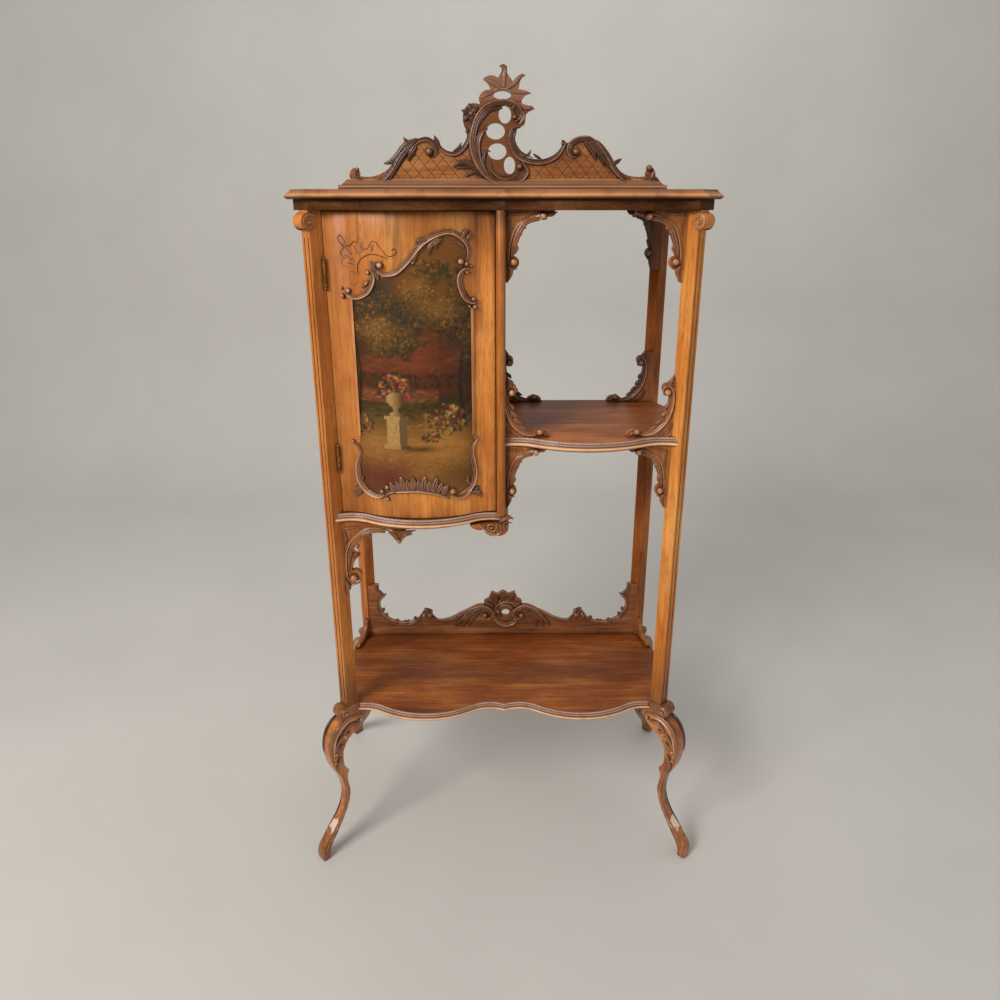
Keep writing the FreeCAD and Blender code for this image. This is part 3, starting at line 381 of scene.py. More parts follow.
def door_stains_and_shade(finish, colour, height):
    x, _, z = finish.axes()
    # Painted shade on the door's left.
    left = 1 - finish.zone(finish.ragged(x, 50, 6.0), *LEFT_SHADE)
    smoke = finish.band(finish.noise(11.0, (1.0, 1.0, 0.45), detail=4.0, warp=0.6), 0.48, 0.68)
    head = finish.zone(z, *HEAD_RUNS)
    run = finish.band(finish.noise(26.0, (1.0, 1.0, 0.10), detail=4.0, warp=0.4), 0.48, 0.66)
    crown = finish.zone(finish.ragged(z, 30, 9.0), *CROWN_UP) * finish.zone(x, *CROWN_ACROSS)
    from_middle = (x - BAY_MIDDLE * MM).size()
    # Painted shade along the two upright edges, beside the post and the stile, with the darkening from hands.
    rim = finish.zone(finish.ragged(from_middle, 4, 60.0), BAY_HALF - RIM_WIDE, BAY_HALF)
    return finish.tinted(colour, (0.45 * crown, rgb(96, 56, 26)), (0.50 * left, rgb(144, 78, 32)),
                         (0.50 * smoke, rgb(128, 68, 26)), ((0.24 + 0.56 * head) * run, rgb(84, 42, 16)),
                         (0.85 * rim, rgb(46, 23, 10))), height


DOOR = (rgb(172, 96, 36), rgb(222, 140, 62), rgb(246, 174, 92))
door_walnut = walnut("door_walnut", UPRIGHT, DOOR, extra=door_stains_and_shade)
print(len(door_walnut.node_tree.nodes), "nodes in the door's walnut")

# %% [markdown]
# ### Posts and legs
# The posts are painted darker towards the lower shelf, as shade, and those on the left are a little darker
# overall. The ankles of the front legs have lost their finish on the outer edge, where feet and brooms knock
# against them, and show pale bare wood. The edge is found from how far out a point lies on the corner's
# diagonal.

# %% Post and leg finishes
FOOT_SHADE, LEFT_SIDE = (335, 490), (-200, 200)
ANKLE_SLOPE, BARE_OUT, BARE_LEVEL, BARE_REACH = 0.85, (108, 113), 68.0, (6, 11)
RUBBED_UP, LOW_UP, BLOCK_UP = (50, 140), (20, 300), (306, 322)


def dark_foot(finish, colour, height):
    x, _, z = finish.axes()
    # Painted shade towards the lower shelf; the posts on the left a little darker overall.
    foot = 1 - finish.zone(finish.ragged(z, 50, 14.0), *FOOT_SHADE)
    left = 1 - finish.zone(x, *LEFT_SIDE)
    return finish.tinted(colour, (0.30 * left, rgb(142, 80, 34)), (0.66 * foot, rgb(66, 34, 20))), height


def bare_ankle(finish, colour, height):
    x, y, z = finish.axes()
    rough = finish.noise(90.0, detail=4.0)
    out = (x.size() - POST_X * MM + y.size() - POST_Y * MM) / ROOT2
    edge = finish.zone(out + ANKLE_SLOPE * z + 0.010 * (rough - 0.5), *BARE_OUT)
    from_patch = (z - BARE_LEVEL * MM + 0.024 * (rough - 0.5)).size()
    patch = edge * (1 - finish.zone(from_patch, *BARE_REACH))
    rubbed = finish.band(rough, 0.56, 0.66) * (1 - finish.zone(z, *RUBBED_UP))
    low = 1 - finish.zone(z, *LOW_UP)
    stain = finish.band(finish.noise(22.0, detail=4.0, warp=0.5), 0.50, 0.66)
    block = finish.zone(z, *BLOCK_UP)
    colour = finish.tinted(colour, (0.22 * low, rgb(92, 52, 30)), (0.45 * stain, rgb(70, 34, 14)),
                           (0.55 * block, rgb(76, 40, 22)), (0.4 * rubbed, rgb(196, 150, 118)),
                           (0.95 * patch, rgb(232, 200, 182)))
    return colour, height - 1.5 * patch


LEG = (rgb(92, 42, 14), rgb(172, 96, 36), rgb(228, 150, 74))
post_walnut = walnut("post_walnut", UPRIGHT, GOLDEN, extra=dark_foot)
leg_walnut = walnut("leg_walnut", UPRIGHT, LEG, gloss=(0.6, 0.4), extra=bare_ankle)
print("bare wood on the ankles about", BARE_LEVEL, "mm up")

# %% [markdown]
# ### Shelves
# Each shelf shows its flat top in redder wood with the grain across, painted lighter in patches towards the
# front as pools of light and darker towards the back as shade, and a moulded edge: a bead with a rope twist
# above, a dark groove of painted shade, and a paler round below, partly rubbed and partly a painted
# highlight, over painted shade underneath. The top board's edge is one smooth round with a painted highlight.
# The edge is told from the flat top by the surface's own slope, and its bands by the height under the shelf's
# top.

# %% Shelf finish
# Bands across the moulded edges: painted highlight and painted shade over their wear.
ROPE_EDGE = [(0.0, rgb(140, 104, 88)), (0.10, rgb(216, 184, 166)), (0.24, rgb(116, 78, 62)),
             (0.34, rgb(200, 162, 140)), (0.44, rgb(50, 22, 11)), (0.52, rgb(190, 124, 76)),
             (0.66, rgb(255, 214, 170)), (0.82, rgb(206, 138, 84)), (1.0, rgb(84, 42, 20))]
ROUND_EDGE = [(0.0, rgb(128, 86, 58)), (0.20, rgb(150, 98, 60)), (0.40, rgb(176, 116, 68)),
              (0.54, rgb(208, 154, 106)), (0.66, rgb(176, 117, 70)), (0.80, rgb(132, 80, 42)),
              (0.92, rgb(60, 32, 17)), (1.0, rgb(44, 23, 12))]
TWIST, BEAD_END, SHELF_FRONT = 6.2, 0.42, (-190, 100)
RED = (rgb(98, 46, 14), rgb(150, 80, 30), rgb(200, 124, 56))


def shelf_finish(name, top, thick, edge_bands, twisted):
    """A shelf's walnut. Twisted is 1 where a rope runs round its edge, and 0 where the edge is smooth."""
    def edge(finish, colour, height):
        x, y, z = finish.axes()
        level = (top * MM - z) / (thick * MM)
        slope = finish.node("SeparateXYZ", None, {0: finish.node("NewGeometry", out="Normal")}, out=2)
        side = 1 - finish.band(slope.size(), 0.90, 0.985)
        worn = finish.noise(40.0)
        # Painted highlight on the round, painted shade in the groove and under the edge.
        bands = finish.ramp(level + 0.06 * (worn - 0.5), *edge_bands)
        bands = finish.blend(0.4 * finish.band(worn, 0.45, 0.7), bands, rgb(190, 130, 90), "MULTIPLY")
        turn = (((x + 0.6 * y + 0.8 * z) / (TWIST * MM)).part() - 0.5).size()
        reeds = finish.band(turn, 0.08, 0.36) * (1 - finish.band(level, BEAD_END, BEAD_END + 0.05)) * twisted
        bands = finish.blend(0.35 * reeds, bands, rgb(66, 38, 26))
        broad = finish.band(finish.noise(7.0, (0.25, 1.0, 1.0)), 0.46, 0.66)
        # Painted pools of light towards the front, and painted shade towards the back.
        painted_light = finish.band(finish.noise(5.0, (0.3, 1.0, 1.0), detail=4.0, warp=1.0), 0.50, 0.68)
        front = 1 - finish.zone(y, *SHELF_FRONT)
        colour = finish.tinted(colour, (0.55 * broad, rgb(70, 32, 12)),
                               ((0.25 + 0.5 * front) * painted_light, rgb(204, 118, 46)),
                               (0.3 * (1 - front), rgb(84, 40, 18)), (side, bands))
        return colour, height + 1.6 * side * reeds

    return walnut(name, ACROSS, RED, streaks=0.5, rough=0.42, extra=edge)


SHELVES = {"lower_shelf": (LOWER_SHELF, SHELF_THICK, ROPE_EDGE, 1.0),
           "middle_shelf": (MIDDLE_SHELF, SHELF_THICK, ROPE_EDGE, 1.0),
           "cabinet_bottom": (CABINET_FLOOR, SHELF_THICK, ROPE_EDGE, 1.0),
           "top_board": (TOP_BOARD, TOP_THICK, ROUND_EDGE, 0.0)}
shelf_finishes = {name: shelf_finish(name + "_walnut", *row) for name, row in SHELVES.items()}
print(len(shelf_finishes), "shelf finishes")

# %% [markdown]
# ### Carving
# Carved walnut is darker than the flat boards. Stain and dust sit in its grooves, darkened further by painted
# shade, and its ridges are paler, partly rubbed by hands and dusters and partly a painted highlight. The
# carving carries what the finish needs as attributes: ridge is how high a point is on its own stroke, along
# and across say where it is on the stroke, and leafy is how far the stroke is a leaf, with nerves cut across
# it.

# %% Carved finishes
NERVE_STEP, CARVED_DEPTH = 9.0, 0.0005


def carved(name, groove, middle, ridge, rubbed, gloss=(0.25, 0.45)):
    finish = Finish(name)
    high, along, across, leafy = (finish.attribute(key) for key in ("ridge", "along", "across", "leafy"))
    grain = finish.noise(140.0, UPRIGHT, detail=4.0)
    patch = finish.noise(32.0, detail=4.0)
    nerve = ((along / NERVE_STEP - 0.8 * across.size()).part() - 0.5).size()
    nerve = (1 - finish.band(nerve, 0.04, 0.16)) * leafy * finish.band(across.size(), 0.15, 0.40)
    rubs = finish.noise(75.0)
    tone = 0.56 * high + 0.08 * grain + 0.32 * patch + 0.26 * rubs - 0.19 - 0.08 * nerve
    # The ramp over ridge height: dark grooves of stain and painted shade, pale ridges of wear and painted
    # highlight.
    colour = finish.ramp(tone, (0.08, groove), (0.36, middle), (0.64, ridge), (0.92, rubbed))
    # Grooves and corners darkened: painted shade, with the dust that sits there.
    dust_and_shade = 0.95 * finish.dust_and_shade(0.010, 0.30, 0.85)
    colour = finish.blend(dust_and_shade, colour, CORNER_DUST_AND_SHADE)
    sheen = 0.24 + 0.14 * patch + 0.3 * dust_and_shade
    height = 0.08 * grain + 0.7 * patch - 0.2 * nerve
    finish.wear(base_color=colour, roughness=sheen, normal=finish.bump(height, CARVED_DEPTH))
    return polish(finish, *gloss)


dark_carving = carved("dark_carving", rgb(30, 16, 9), rgb(80, 48, 30), rgb(128, 84, 58), rgb(206, 164, 132))
gallery_carving = carved("gallery_carving", rgb(44, 24, 13), rgb(104, 62, 37), rgb(156, 104, 70),
                         rgb(216, 170, 132))
finial_carving = carved("finial_carving", rgb(78, 48, 34), rgb(140, 96, 72), rgb(176, 132, 104),
                        rgb(226, 190, 164))
warm_carving = carved("warm_carving", rgb(64, 32, 14), rgb(136, 80, 42), rgb(190, 126, 78),
                      rgb(240, 192, 148))
leg_carving = carved("leg_carving", rgb(66, 32, 14), rgb(140, 80, 40), rgb(188, 124, 74), rgb(250, 222, 200),
                     gloss=(0.6, 0.6))
door_moulding = carved("door_moulding", rgb(52, 27, 14), rgb(124, 78, 50), rgb(186, 134, 100),
                       rgb(246, 214, 188))
print(len(dark_carving.node_tree.nodes), "nodes in a carved finish")

# %% [markdown]
# The board behind the crest's carving has crossed lines cut into its two fields. They could be swept like
# the carving, but they are hair-thin and straight, so two slanting stripes in the finish do it. Stain
# darkens the board's middle and its upper parts, and stops short of the back.

# %% Crest board finish
LATTICE_SLOPE, LATTICE_STEP = 0.86, 23.2
MIDDLE_OUT, UPPER_UP, LEAF_UP, TIP_UP = (50, 56), (1410, 1425), (1485, 1500), (1530, 1545)


def lattice(finish, colour, height):
    """Crossed lines on the crest's front, left and right of its middle."""
    x, y, z = finish.axes()

    def cut(slope):
        line = ((x + slope * z) / (LATTICE_STEP * MM)).part() - 0.5
        return 1 - finish.band(line.size(), 0.02, 0.075)

    middle = 1 - finish.zone(x.size(), *MIDDLE_OUT)
    front = 1 - finish.zone(y, CREST_FACE + 0.5, CREST_FACE + 1.5)
    cuts = cut(LATTICE_SLOPE).most(cut(-LATTICE_SLOPE)) * front * (1 - middle)
    stained = 1 - finish.zone(y, CREST_BACK - 1.0, CREST_BACK - 0.4)
    upper = middle.most(finish.zone(z, *UPPER_UP))
    colour = finish.tinted(colour, (0.7 * stained * upper, rgb(98, 56, 30)),
                           (0.75 * stained * finish.zone(z, *LEAF_UP), rgb(150, 106, 82)),
                           (0.7 * stained * finish.zone(z, *TIP_UP), rgb(112, 66, 28)),
                           (0.62 * cuts, rgb(54, 26, 10)))
    return colour, height - 2.5 * cuts


CREST_TONES = (rgb(112, 60, 22), rgb(160, 98, 46), rgb(196, 134, 72))
crest_ground = walnut("crest_ground", ACROSS, CREST_TONES, extra=lattice)
print("lattice lines", LATTICE_STEP, "mm apart")

# %% [markdown]
# ### Metal and bare lines
# The hinges are old brass gone brown, bright only where the barrels turn. The door's ornament at the upper
# left is only drawn: a burnt line without relief, and a faint stain beside it.

# %% Metal and line finishes
METAL_SHARE = 0.7


def metal(name, dull, bright, shine):
    finish = Finish(name)
    patch = finish.noise(160.0, detail=4.0)
    colour = finish.ramp(patch, (0.35, dull), (0.65, bright))
    finish.wear(base_color=colour, roughness=0.6 - shine * patch, normal=finish.bump(patch, 0.0002, 0.4))
    finish.shader.inputs["Metallic"].default_value = METAL_SHARE
    return finish.material


def mottled(name, scale, dark, light, rough):
    """A dull finish in two tones."""
    finish = Finish(name)
    finish.wear(base_color=finish.ramp(finish.noise(scale), (0.3, dark), (0.7, light)), roughness=rough)
    return finish.material


old_brass = metal("old_brass", rgb(104, 66, 34), rgb(164, 112, 60), 0.35)
old_steel = metal("old_steel", rgb(70, 66, 60), rgb(128, 122, 114), 0.3)
burnt_line = mottled("burnt_line", 300.0, rgb(44, 20, 8), rgb(84, 44, 18), 0.6)
old_stain = mottled("old_stain", 90.0, rgb(128, 88, 74), rgb(170, 108, 66), 0.5)
print(len(bpy.data.materials), "materials so far")

# %% [markdown]
# ## Dressing the parts
# Each part gets the finish of its place. Sawn boards of the carving stay plain behind the strokes. A weld
# joins the loose triangles, flat neighbours are dissolved, and a bevel of a hair breaks the edges the way a
# scraper and a century of handling do. The legs are carved round all over: a fine remesh and some smoothing
# do what the rasp does, where a bevel would keep the flats of the sawn leg.

# %% Finish for each part
PLAIN = {
    inner_wood: ("cabinet_back", "inner_shelf", "shelf_cleats", "leg_dowels", "door_stop"),
    frieze_walnut: ("frieze_front_rail", "frieze_rear_rail", "frieze_left_rail", "frieze_right_rail"),
    plinth_walnut: ("crest_plinth",),
    crest_ground: ("crest_board",),
    bead_walnut: ("door_bead_left", "door_bead_right"),
    old_steel: ("hinge_case_screws", "hinge_door_screws", "catch_screw"),
    old_brass: ("lower_hinge_case_leaf", "upper_hinge_case_leaf", "lower_hinge_door_leaf",
                "upper_hinge_door_leaf", "hinge_pins", "door_catch"),
    aged_walnut: ("cabinet_stile",),
    rear_walnut: ("rear_left_post", "rear_right_post"),
    door_walnut: ("door_panel",),
    gallery_walnut: ("lower_gallery",),
    shaded_walnut: ("side_gallery_left", "side_gallery_right", "top_bracket_rear_left",
                    "top_bracket_rear_right", "shelf_scroll_rear_left", "shelf_scroll_rear_right"),
}
finishes = {name: material for material, names in PLAIN.items() for name in names}
finishes.update(shelf_finishes)


def finish_for(name):
    """The finish that a part is given by name, or else by the kind of part that it is."""
    if name in finishes:
        return finishes[name]
    if name.endswith("_leg"):
        return leg_walnut
    if name.endswith("_post"):
        return post_walnut
    if "bracket" in name or "scroll" in name or "pendant" in name:
        return warm_walnut
    return case_walnut


print(len(finishes), "parts have a finish by name")

# %% Dress the parts as they are
SKIN, SCRAPE_SHARE, SCRAPE_ROUNDS = 0.0020, 0.5, 8
WELD_REACH, FLAT_ANGLE, EDGE_ANGLE, EDGE_WIDTH = 0.00002, math.radians(0.6), math.radians(38), 0.0006
SHARP = ("hinge", "screw", "pins", "catch", "dowels", "painted", "cleats", "crest_board")


def round_over(node):
    """Rounds a carved piece all over, as the rasp and the scraper leave it."""
    skin = node.modifiers.new("skin", "REMESH")
    skin.mode, skin.voxel_size, skin.use_smooth_shade = "VOXEL", SKIN, True
    scraped = node.modifiers.new("scraped", "SMOOTH")
    scraped.factor, scraped.iterations = SCRAPE_SHARE, SCRAPE_ROUNDS


def break_edges(node):
    weld = node.modifiers.new("weld", "WELD")
    weld.merge_threshold = WELD_REACH
    flat = node.modifiers.new("flat", "DECIMATE")
    flat.decimate_type, flat.angle_limit = "DISSOLVE", FLAT_ANGLE
    bevel = node.modifiers.new("edges", "BEVEL")
    bevel.width, bevel.segments, bevel.limit_method = EDGE_WIDTH, 2, "ANGLE"
    bevel.angle_limit, bevel.harden_normals = EDGE_ANGLE, False


for name, node in nodes.items():
    node.data.materials.clear()
    node.data.materials.append(finish_for(name))
    if name.endswith("_leg"):
        round_over(node)
    elif not any(word in name for word in SHARP):
        break_edges(node)
print(len(nodes), "parts dressed")

# %% [markdown]
# ## Carving strokes
# A carver cuts scrolls and leaves as strokes: a path, with a width that swells and tapers. So each carving
# here is a list of strokes, each drawn with one greatest width and a few points (across, up), in
# millimetres on its board's face. A scroll is fullest past its middle, a leaf soon after its root, and a
# burnt line stays even. Knobs are the round eyes of the scrolls: (across, up, radius).

# %% Stroke shapes
SWELL = {
    "scroll": ((0.0, 0.2, 0.55, 0.85, 1.0), (0.35, 0.75, 1.0, 0.75, 0.3)),
    "leaf": ((0.0, 0.4, 0.75, 1.0), (0.55, 1.0, 0.8, 0.2)),
    "line": ((0.0, 1.0), (1.0, 1.0)),
}


def stroke(kind, width, points):
    """A kind, and the points with the width that this kind of stroke has at each of them."""
    steps = [math.dist(a, b) for a, b in zip(points, points[1:])]
    shares = np.concatenate([[0.0], np.cumsum(steps)]) / sum(steps)
    return kind, [(u, v, width * np.interp(share, *SWELL[kind])) for (u, v), share in zip(points, shares)]


def scroll(width, *points):
    return stroke("scroll", width, points)


def leaf(width, *points):
    return stroke("leaf", width, points)


def line(width, *points):
    return stroke("line", width, points)


def petals(u, v, reach, width, count, first):
    """Leaves round a middle, the first of them at an angle in degrees."""
    made = []
    for k in range(count):
        angle = math.radians(first + 360 * k / count)
        made.append(leaf(width, *((u + far * reach * math.cos(angle), v + far * reach * math.sin(angle))
                                  for far in (0.1, 0.55, 1.0))))
    return made


def both_sides(strokes):
    """Strokes together with their mirror images."""
    return strokes + [(kind, [(-u, v, width) for u, v, width in path]) for kind, path in strokes]

# %% [markdown]
# ### The crest
# Two shoulders with broad leaves fall to the ends of the board. Between them stands a C scroll with a leaf
# across it, a U scroll on either side, a flower at its left and a ragged leaf for a finial. Its halves are
# not alike, so it is drawn whole.

# %% Crest strokes
LEFT_SHOULDER = [
    scroll(10, (-170, 42), (-173, 57), (-162, 68), (-145, 71), (-132, 62), (-128, 49), (-136, 41),
           (-146, 45)),
    leaf(16, (-164, 70), (-186, 60), (-203, 41), (-217, 31), (-230, 28)),
    leaf(15, (-168, 64), (-190, 47), (-208, 22), (-222, -5)),
    leaf(13, (-167, 60), (-176, 48), (-182, 33)),
    leaf(8, (-178, 64), (-186, 69), (-190, 75)),
    scroll(10, (-281, 18), (-286, 8), (-274, -4), (-254, -7), (-234, -2), (-216, 18), (-203, 40)),
    leaf(8, (-276, -8), (-292, -6), (-309, -12)),
    leaf(6, (-280, -15), (-295, -14), (-307, -15)),
    leaf(9, (-121, 56), (-126, 67), (-131, 78)),
    scroll(10, (-127, 68), (-118, 54), (-104, 46), (-88, 47), (-74, 58), (-66, 74), (-69, 87)),
    leaf(7, (-95, 50), (-84, 57), (-80, 66)),
]
CARTOUCHE = [
    scroll(15, (22, 102), (34, 114), (24, 132), (-7, 136), (-38, 122), (-54, 92), (-58, 56), (-40, 16),
           (-8, -6), (30, -4), (47, 12), (37, 30)),
    leaf(7, (-1, 126), (-24, 122), (-40, 106), (-46, 93)),
    scroll(9, (-25, 34), (-20, 16), (-4, 3), (16, 3), (34, 15)),
    scroll(13, (-28, 2), (-45, 32), (-49, 63), (-40, 84), (-29, 90)),
    leaf(9, (-30, 5), (-38, 30), (-32, 50), (-24, 49)),
    leaf(9, (-42, 13), (-56, 33), (-65, 48)),
    leaf(11, (-44, 11), (-66, 28), (-84, 29), (-96, 22)),
    leaf(7, (-49, 20), (-70, 21), (-90, 19)),
    leaf(8, (-36, 3), (-54, 12), (-73, 4)),
    leaf(6, (31, 132), (20, 127), (24, 116)),
    scroll(12, (34, 93), (20, 90), (14, 72), (24, 46), (48, 33), (78, 31), (104, 42), (119, 64), (113, 69)),
    leaf(7, (25, 86), (21, 69), (33, 49), (58, 38)),
    leaf(6, (41, 40), (50, 45), (54, 53)),
    leaf(6, (74, 36), (65, 41), (58, 46)),
]
RIGHT_SHOULDER = [
    scroll(11, (186, 62), (166, 73), (144, 71), (130, 62), (127, 50), (134, 41), (144, 42)),
    scroll(12, (160, 72), (182, 66), (202, 44), (218, 18), (240, -2), (264, -7), (284, 0), (292, 14),
           (285, 24)),
    leaf(14, (158, 68), (170, 56), (180, 34)),
    leaf(14, (168, 68), (185, 50), (196, 25)),
    leaf(14, (180, 62), (203, 32), (225, 2)),
    leaf(9, (212, 27), (221, 31), (230, 37)),
    leaf(8, (285, 0), (297, 1), (309, -9)),
    leaf(6, (281, -7), (295, -7), (307, -12)),
]
FINIAL = [
    leaf(8, (-17, 153), (-32, 149), (-42, 143)),
    leaf(9, (-5, 160), (-17, 169), (-34, 175)),
    leaf(9, (1, 161), (2, 180), (4, 190), (0, 196)),
    leaf(8, (9, 160), (21, 169), (31, 179), (39, 183)),
    leaf(8, (17, 154), (34, 154), (50, 152)),
    leaf(9, (29, 134), (44, 127), (57, 127)),
    leaf(10, (34, 122), (39, 110), (31, 97)),
    scroll(5, (-20, 152), (-12, 159), (-1, 161), (10, 159), (18, 152)),
]
FLOWER_U, FLOWER_V = -61, 116
CREST = LEFT_SHOULDER + CARTOUCHE + RIGHT_SHOULDER + petals(FLOWER_U, FLOWER_V, 19, 10, 6, 40)
CREST_KNOBS = [(-142, 49, 7.5), (141, 49, 7), (32, 22, 6), (-282, 17, 4), (284, 20, 6), (22, 110, 5),
               (FLOWER_U, FLOWER_V, 5), (-69, 85, 3), (115, 64, 3)]
print(len(CREST + FINIAL), "strokes on the crest")

# %% [markdown]
# ### The brackets
# A bracket is drawn from the upright and the board that it joins. The hanging one is an arm that runs down
# the upright into a curl and a leaf. The standing one is a C scroll with leaves in its hollow. The one
# under the cabinet is the same thought, drawn larger. The pendant is a small fan with a spiral under the
# cabinet's corner.

# %% Hanging bracket strokes
HANGING = [
    scroll(6, (66, 15), (68, 7), (60, 3), (50, 7), (24, 18), (11, 37), (5, 64), (5, 82), (12, 89),
           (20, 86), (20, 79)),
    leaf(12, (56, 13), (34, 18), (22, 34), (14, 56), (10, 76)),
    leaf(6, (25, 21), (30, 25), (34, 29)),
    leaf(6, (21, 31), (25, 35), (27, 39)),
    leaf(6, (14, 52), (19, 60), (14, 71)),
    leaf(7, (64, 5), (75, 7), (85, 2)),
    leaf(8, (6, 89), (9, 99), (4, 114)),
    leaf(5, (3, 88), (10, 94), (20, 92)),
    leaf(3, (3, 7), (20, 6), (36, 3)),
    leaf(3, (3, 9), (6, 24), (4, 40)),
]
HANGING_KNOBS = [(14, 82, 6.5), (62, 9, 6.5)]

# %% Standing bracket strokes
STANDING = [
    scroll(11, (15, 77), (17, 86), (12, 92), (4, 87), (1, 70), (4, 48), (13, 27), (29, 11), (46, 5), (58, 7)),
    leaf(5, (-1, 66), (2, 40), (18, 13), (34, 3), (52, 1)),
    leaf(8, (5, 63), (12, 56), (15, 50)),
    leaf(9, (8, 49), (16, 42), (21, 37)),
    leaf(9, (14, 36), (23, 29), (30, 25)),
    leaf(8, (22, 24), (31, 18), (39, 14)),
    leaf(8, (10, 91), (7, 100), (1, 114)),
    leaf(4, (-1, 101), (6, 103), (11, 100)),
    leaf(4, (-1, 95), (6, 96), (13, 94)),
    leaf(8, (57, 7), (67, 8), (78, 0)),
    leaf(5, (62, 3), (69, 0), (76, -2)),
    leaf(3, (-2, 26), (7, 9), (25, 0)),
]
STANDING_KNOBS = [(11, 83, 6.5), (62, 11, 6.5)]

# %% Cabinet bracket and pendant strokes
CABINET = [
    scroll(7, (84, 19), (62, 13), (37, 16), (14, 34), (1, 57), (-3, 90), (0, 118), (12, 129), (23, 124),
           (26, 113)),
    leaf(11, (76, 20), (54, 19), (31, 28), (13, 50), (5, 76), (3, 102)),
    leaf(7, (41, 23), (46, 29), (50, 36)),
    leaf(7, (19, 43), (24, 48), (20, 55)),
    leaf(6, (13, 56), (20, 64), (13, 75)),
    leaf(10, (83, 20), (94, 29), (101, 45)),
    leaf(8, (126, 24), (110, 29), (103, 44)),
    leaf(8, (90, 19), (110, 21), (134, 17)),
    leaf(8, (-4, 122), (-1, 136), (-4, 153)),
    leaf(5, (-6, 128), (1, 133), (10, 132)),
    leaf(4, (0, 13), (14, 12), (27, 10)),
    leaf(4, (0, 21), (2, 34), (-1, 48)),
]
CABINET_KNOBS = [(12, 115, 8), (100, 39, 3.5)]
PENDANT = [
    scroll(6, (-57, 2), (-44, -9), (-29, -18), (-18, -16), (-9, 1)),
    scroll(5, (-23, 4), (-21, -4), (-29, -13), (-39, -7), (-37, 1), (-29, 1), (-28, -5)),
    leaf(5, (-51, 1), (-46, -3), (-42, -9)),
    leaf(5, (-16, 2), (-14, -8), (-19, -15)),
    leaf(5, (-10, 2), (-8, -7), (-12, -14)),
    leaf(4, (-4, 2), (-3, -4), (-5, -10)),
]
PENDANT_KNOBS = [(-32, -5, 3)]
CORNER_LEAF = [
    leaf(8, (-17, 3), (-8, 9), (3, 12), (9, 9)),
    leaf(5, (-14, 12), (-6, 15), (4, 17)),
    leaf(5, (-12, 1), (-2, 3), (7, 2)),
]

# %% [markdown]
# ### The gallery
# The board behind the lower shelf has a medallion in its middle and the same run of scrolls to both sides,
# with sprigs that stand up from the rim. The run is drawn once, and mirrored.

# %% Gallery strokes
GALLERY = [
    scroll(12, (272, 108), (287, 96), (290, 72), (276, 45), (250, 32), (222, 31), (198, 42), (184, 65)),
    leaf(12, (281, 47), (275, 53), (271, 59)),
    leaf(10, (287, 61), (281, 67), (278, 73)),
    leaf(14, (257, 32), (250, 38), (249, 44)),
    leaf(10, (250, 32), (255, 38), (260, 40)),
    leaf(13, (231, 30), (224, 36), (223, 41)),
    leaf(9, (224, 30), (230, 36), (235, 37)),
    leaf(11, (202, 39), (206, 45), (205, 50)),
    scroll(9, (165, 63), (174, 65), (181, 54), (173, 40)),
    leaf(10, (172, 61), (178, 68), (185, 70)),
    scroll(10, (164, 51), (150, 38), (122, 43), (96, 57), (74, 68), (52, 76)),
    scroll(13, (98, 36), (86, 53), (68, 67), (48, 73), (32, 66), (26, 53), (32, 43), (42, 43)),
    leaf(12, (54, 64), (68, 48), (77, 35), (80, 20)),
    leaf(12, (64, 62), (82, 46), (91, 32), (96, 20)),
    leaf(10, (84, 50), (100, 38), (112, 22)),
    leaf(8, (294, 131), (291, 118), (278, 105)),
]
GALLERY_KNOBS = [(43, 52, 6.5), (172, 53, 6), (279, 102, 3.5)]
MEDALLION = both_sides([
    leaf(16, (13, 82), (19, 96), (27, 107)),
    leaf(13, (24, 74), (34, 81), (43, 83)),
]) + [
    leaf(18, (0, 84), (0, 99), (0, 110)),
    scroll(14, (-20, 64), (-14, 80), (3, 90), (21, 87), (33, 74)),
    scroll(8, (-12, 66), (-6, 76), (7, 79), (20, 74), (24, 64)),
    scroll(14, (-19, 64), (-19, 46), (-9, 32), (8, 27), (24, 31), (31, 42), (24, 47)),
    scroll(8, (34, 68), (26, 64), (22, 55), (27, 47)),
    leaf(11, (-14, 68), (-11, 57), (-4, 45)),
]
MEDALLION_KNOBS = [(27, 41, 5), (-12, 62, 4.5)]

# %% [markdown]
# ### The door and the legs
# The frame round the painting has a head and a foot. The foot carries a shell: a fan of lobes on a curved
# rail, long and short in turn, so a loop draws it. The ornament beside the head is only lines. The knees
# have a scroll and leaves that end in small curls, and a line runs down the ankle.

# %% Door head strokes
HEAD = [
    scroll(7, (-114, -129), (-108, -137), (-93, -139), (-74, -129), (-63, -110), (-66, -96), (-74, -94)),
    scroll(7, (-56, -80), (-57, -90), (-44, -100), (-24, -97), (-3, -79), (20, -52), (46, -37),
           (70, -34), (91, -49), (96, -68), (92, -81)),
    scroll(7, (98, -98), (92, -93), (83, -99), (80, -114), (88, -138), (101, -148), (108, -146)),
    leaf(6, (-56, -95), (-55, -103), (-53, -111)),
    leaf(6, (-66, -80), (-59, -93), (-61, -106)),
    leaf(5, (-70, -111), (-78, -117), (-83, -122)),
    leaf(5, (28, -45), (16, -46), (13, -52)),
    leaf(6, (86, -43), (91, -33), (99, -32)),
    leaf(5, (93, -45), (97, -40), (100, -34)),
    leaf(7, (49, -43), (34, -55), (31, -68)),
    leaf(4, (52, -44), (44, -51), (42, -59)),
    leaf(5, (89, -58), (78, -50), (70, -50)),
    leaf(4, (15, -58), (9, -73), (4, -85)),
]
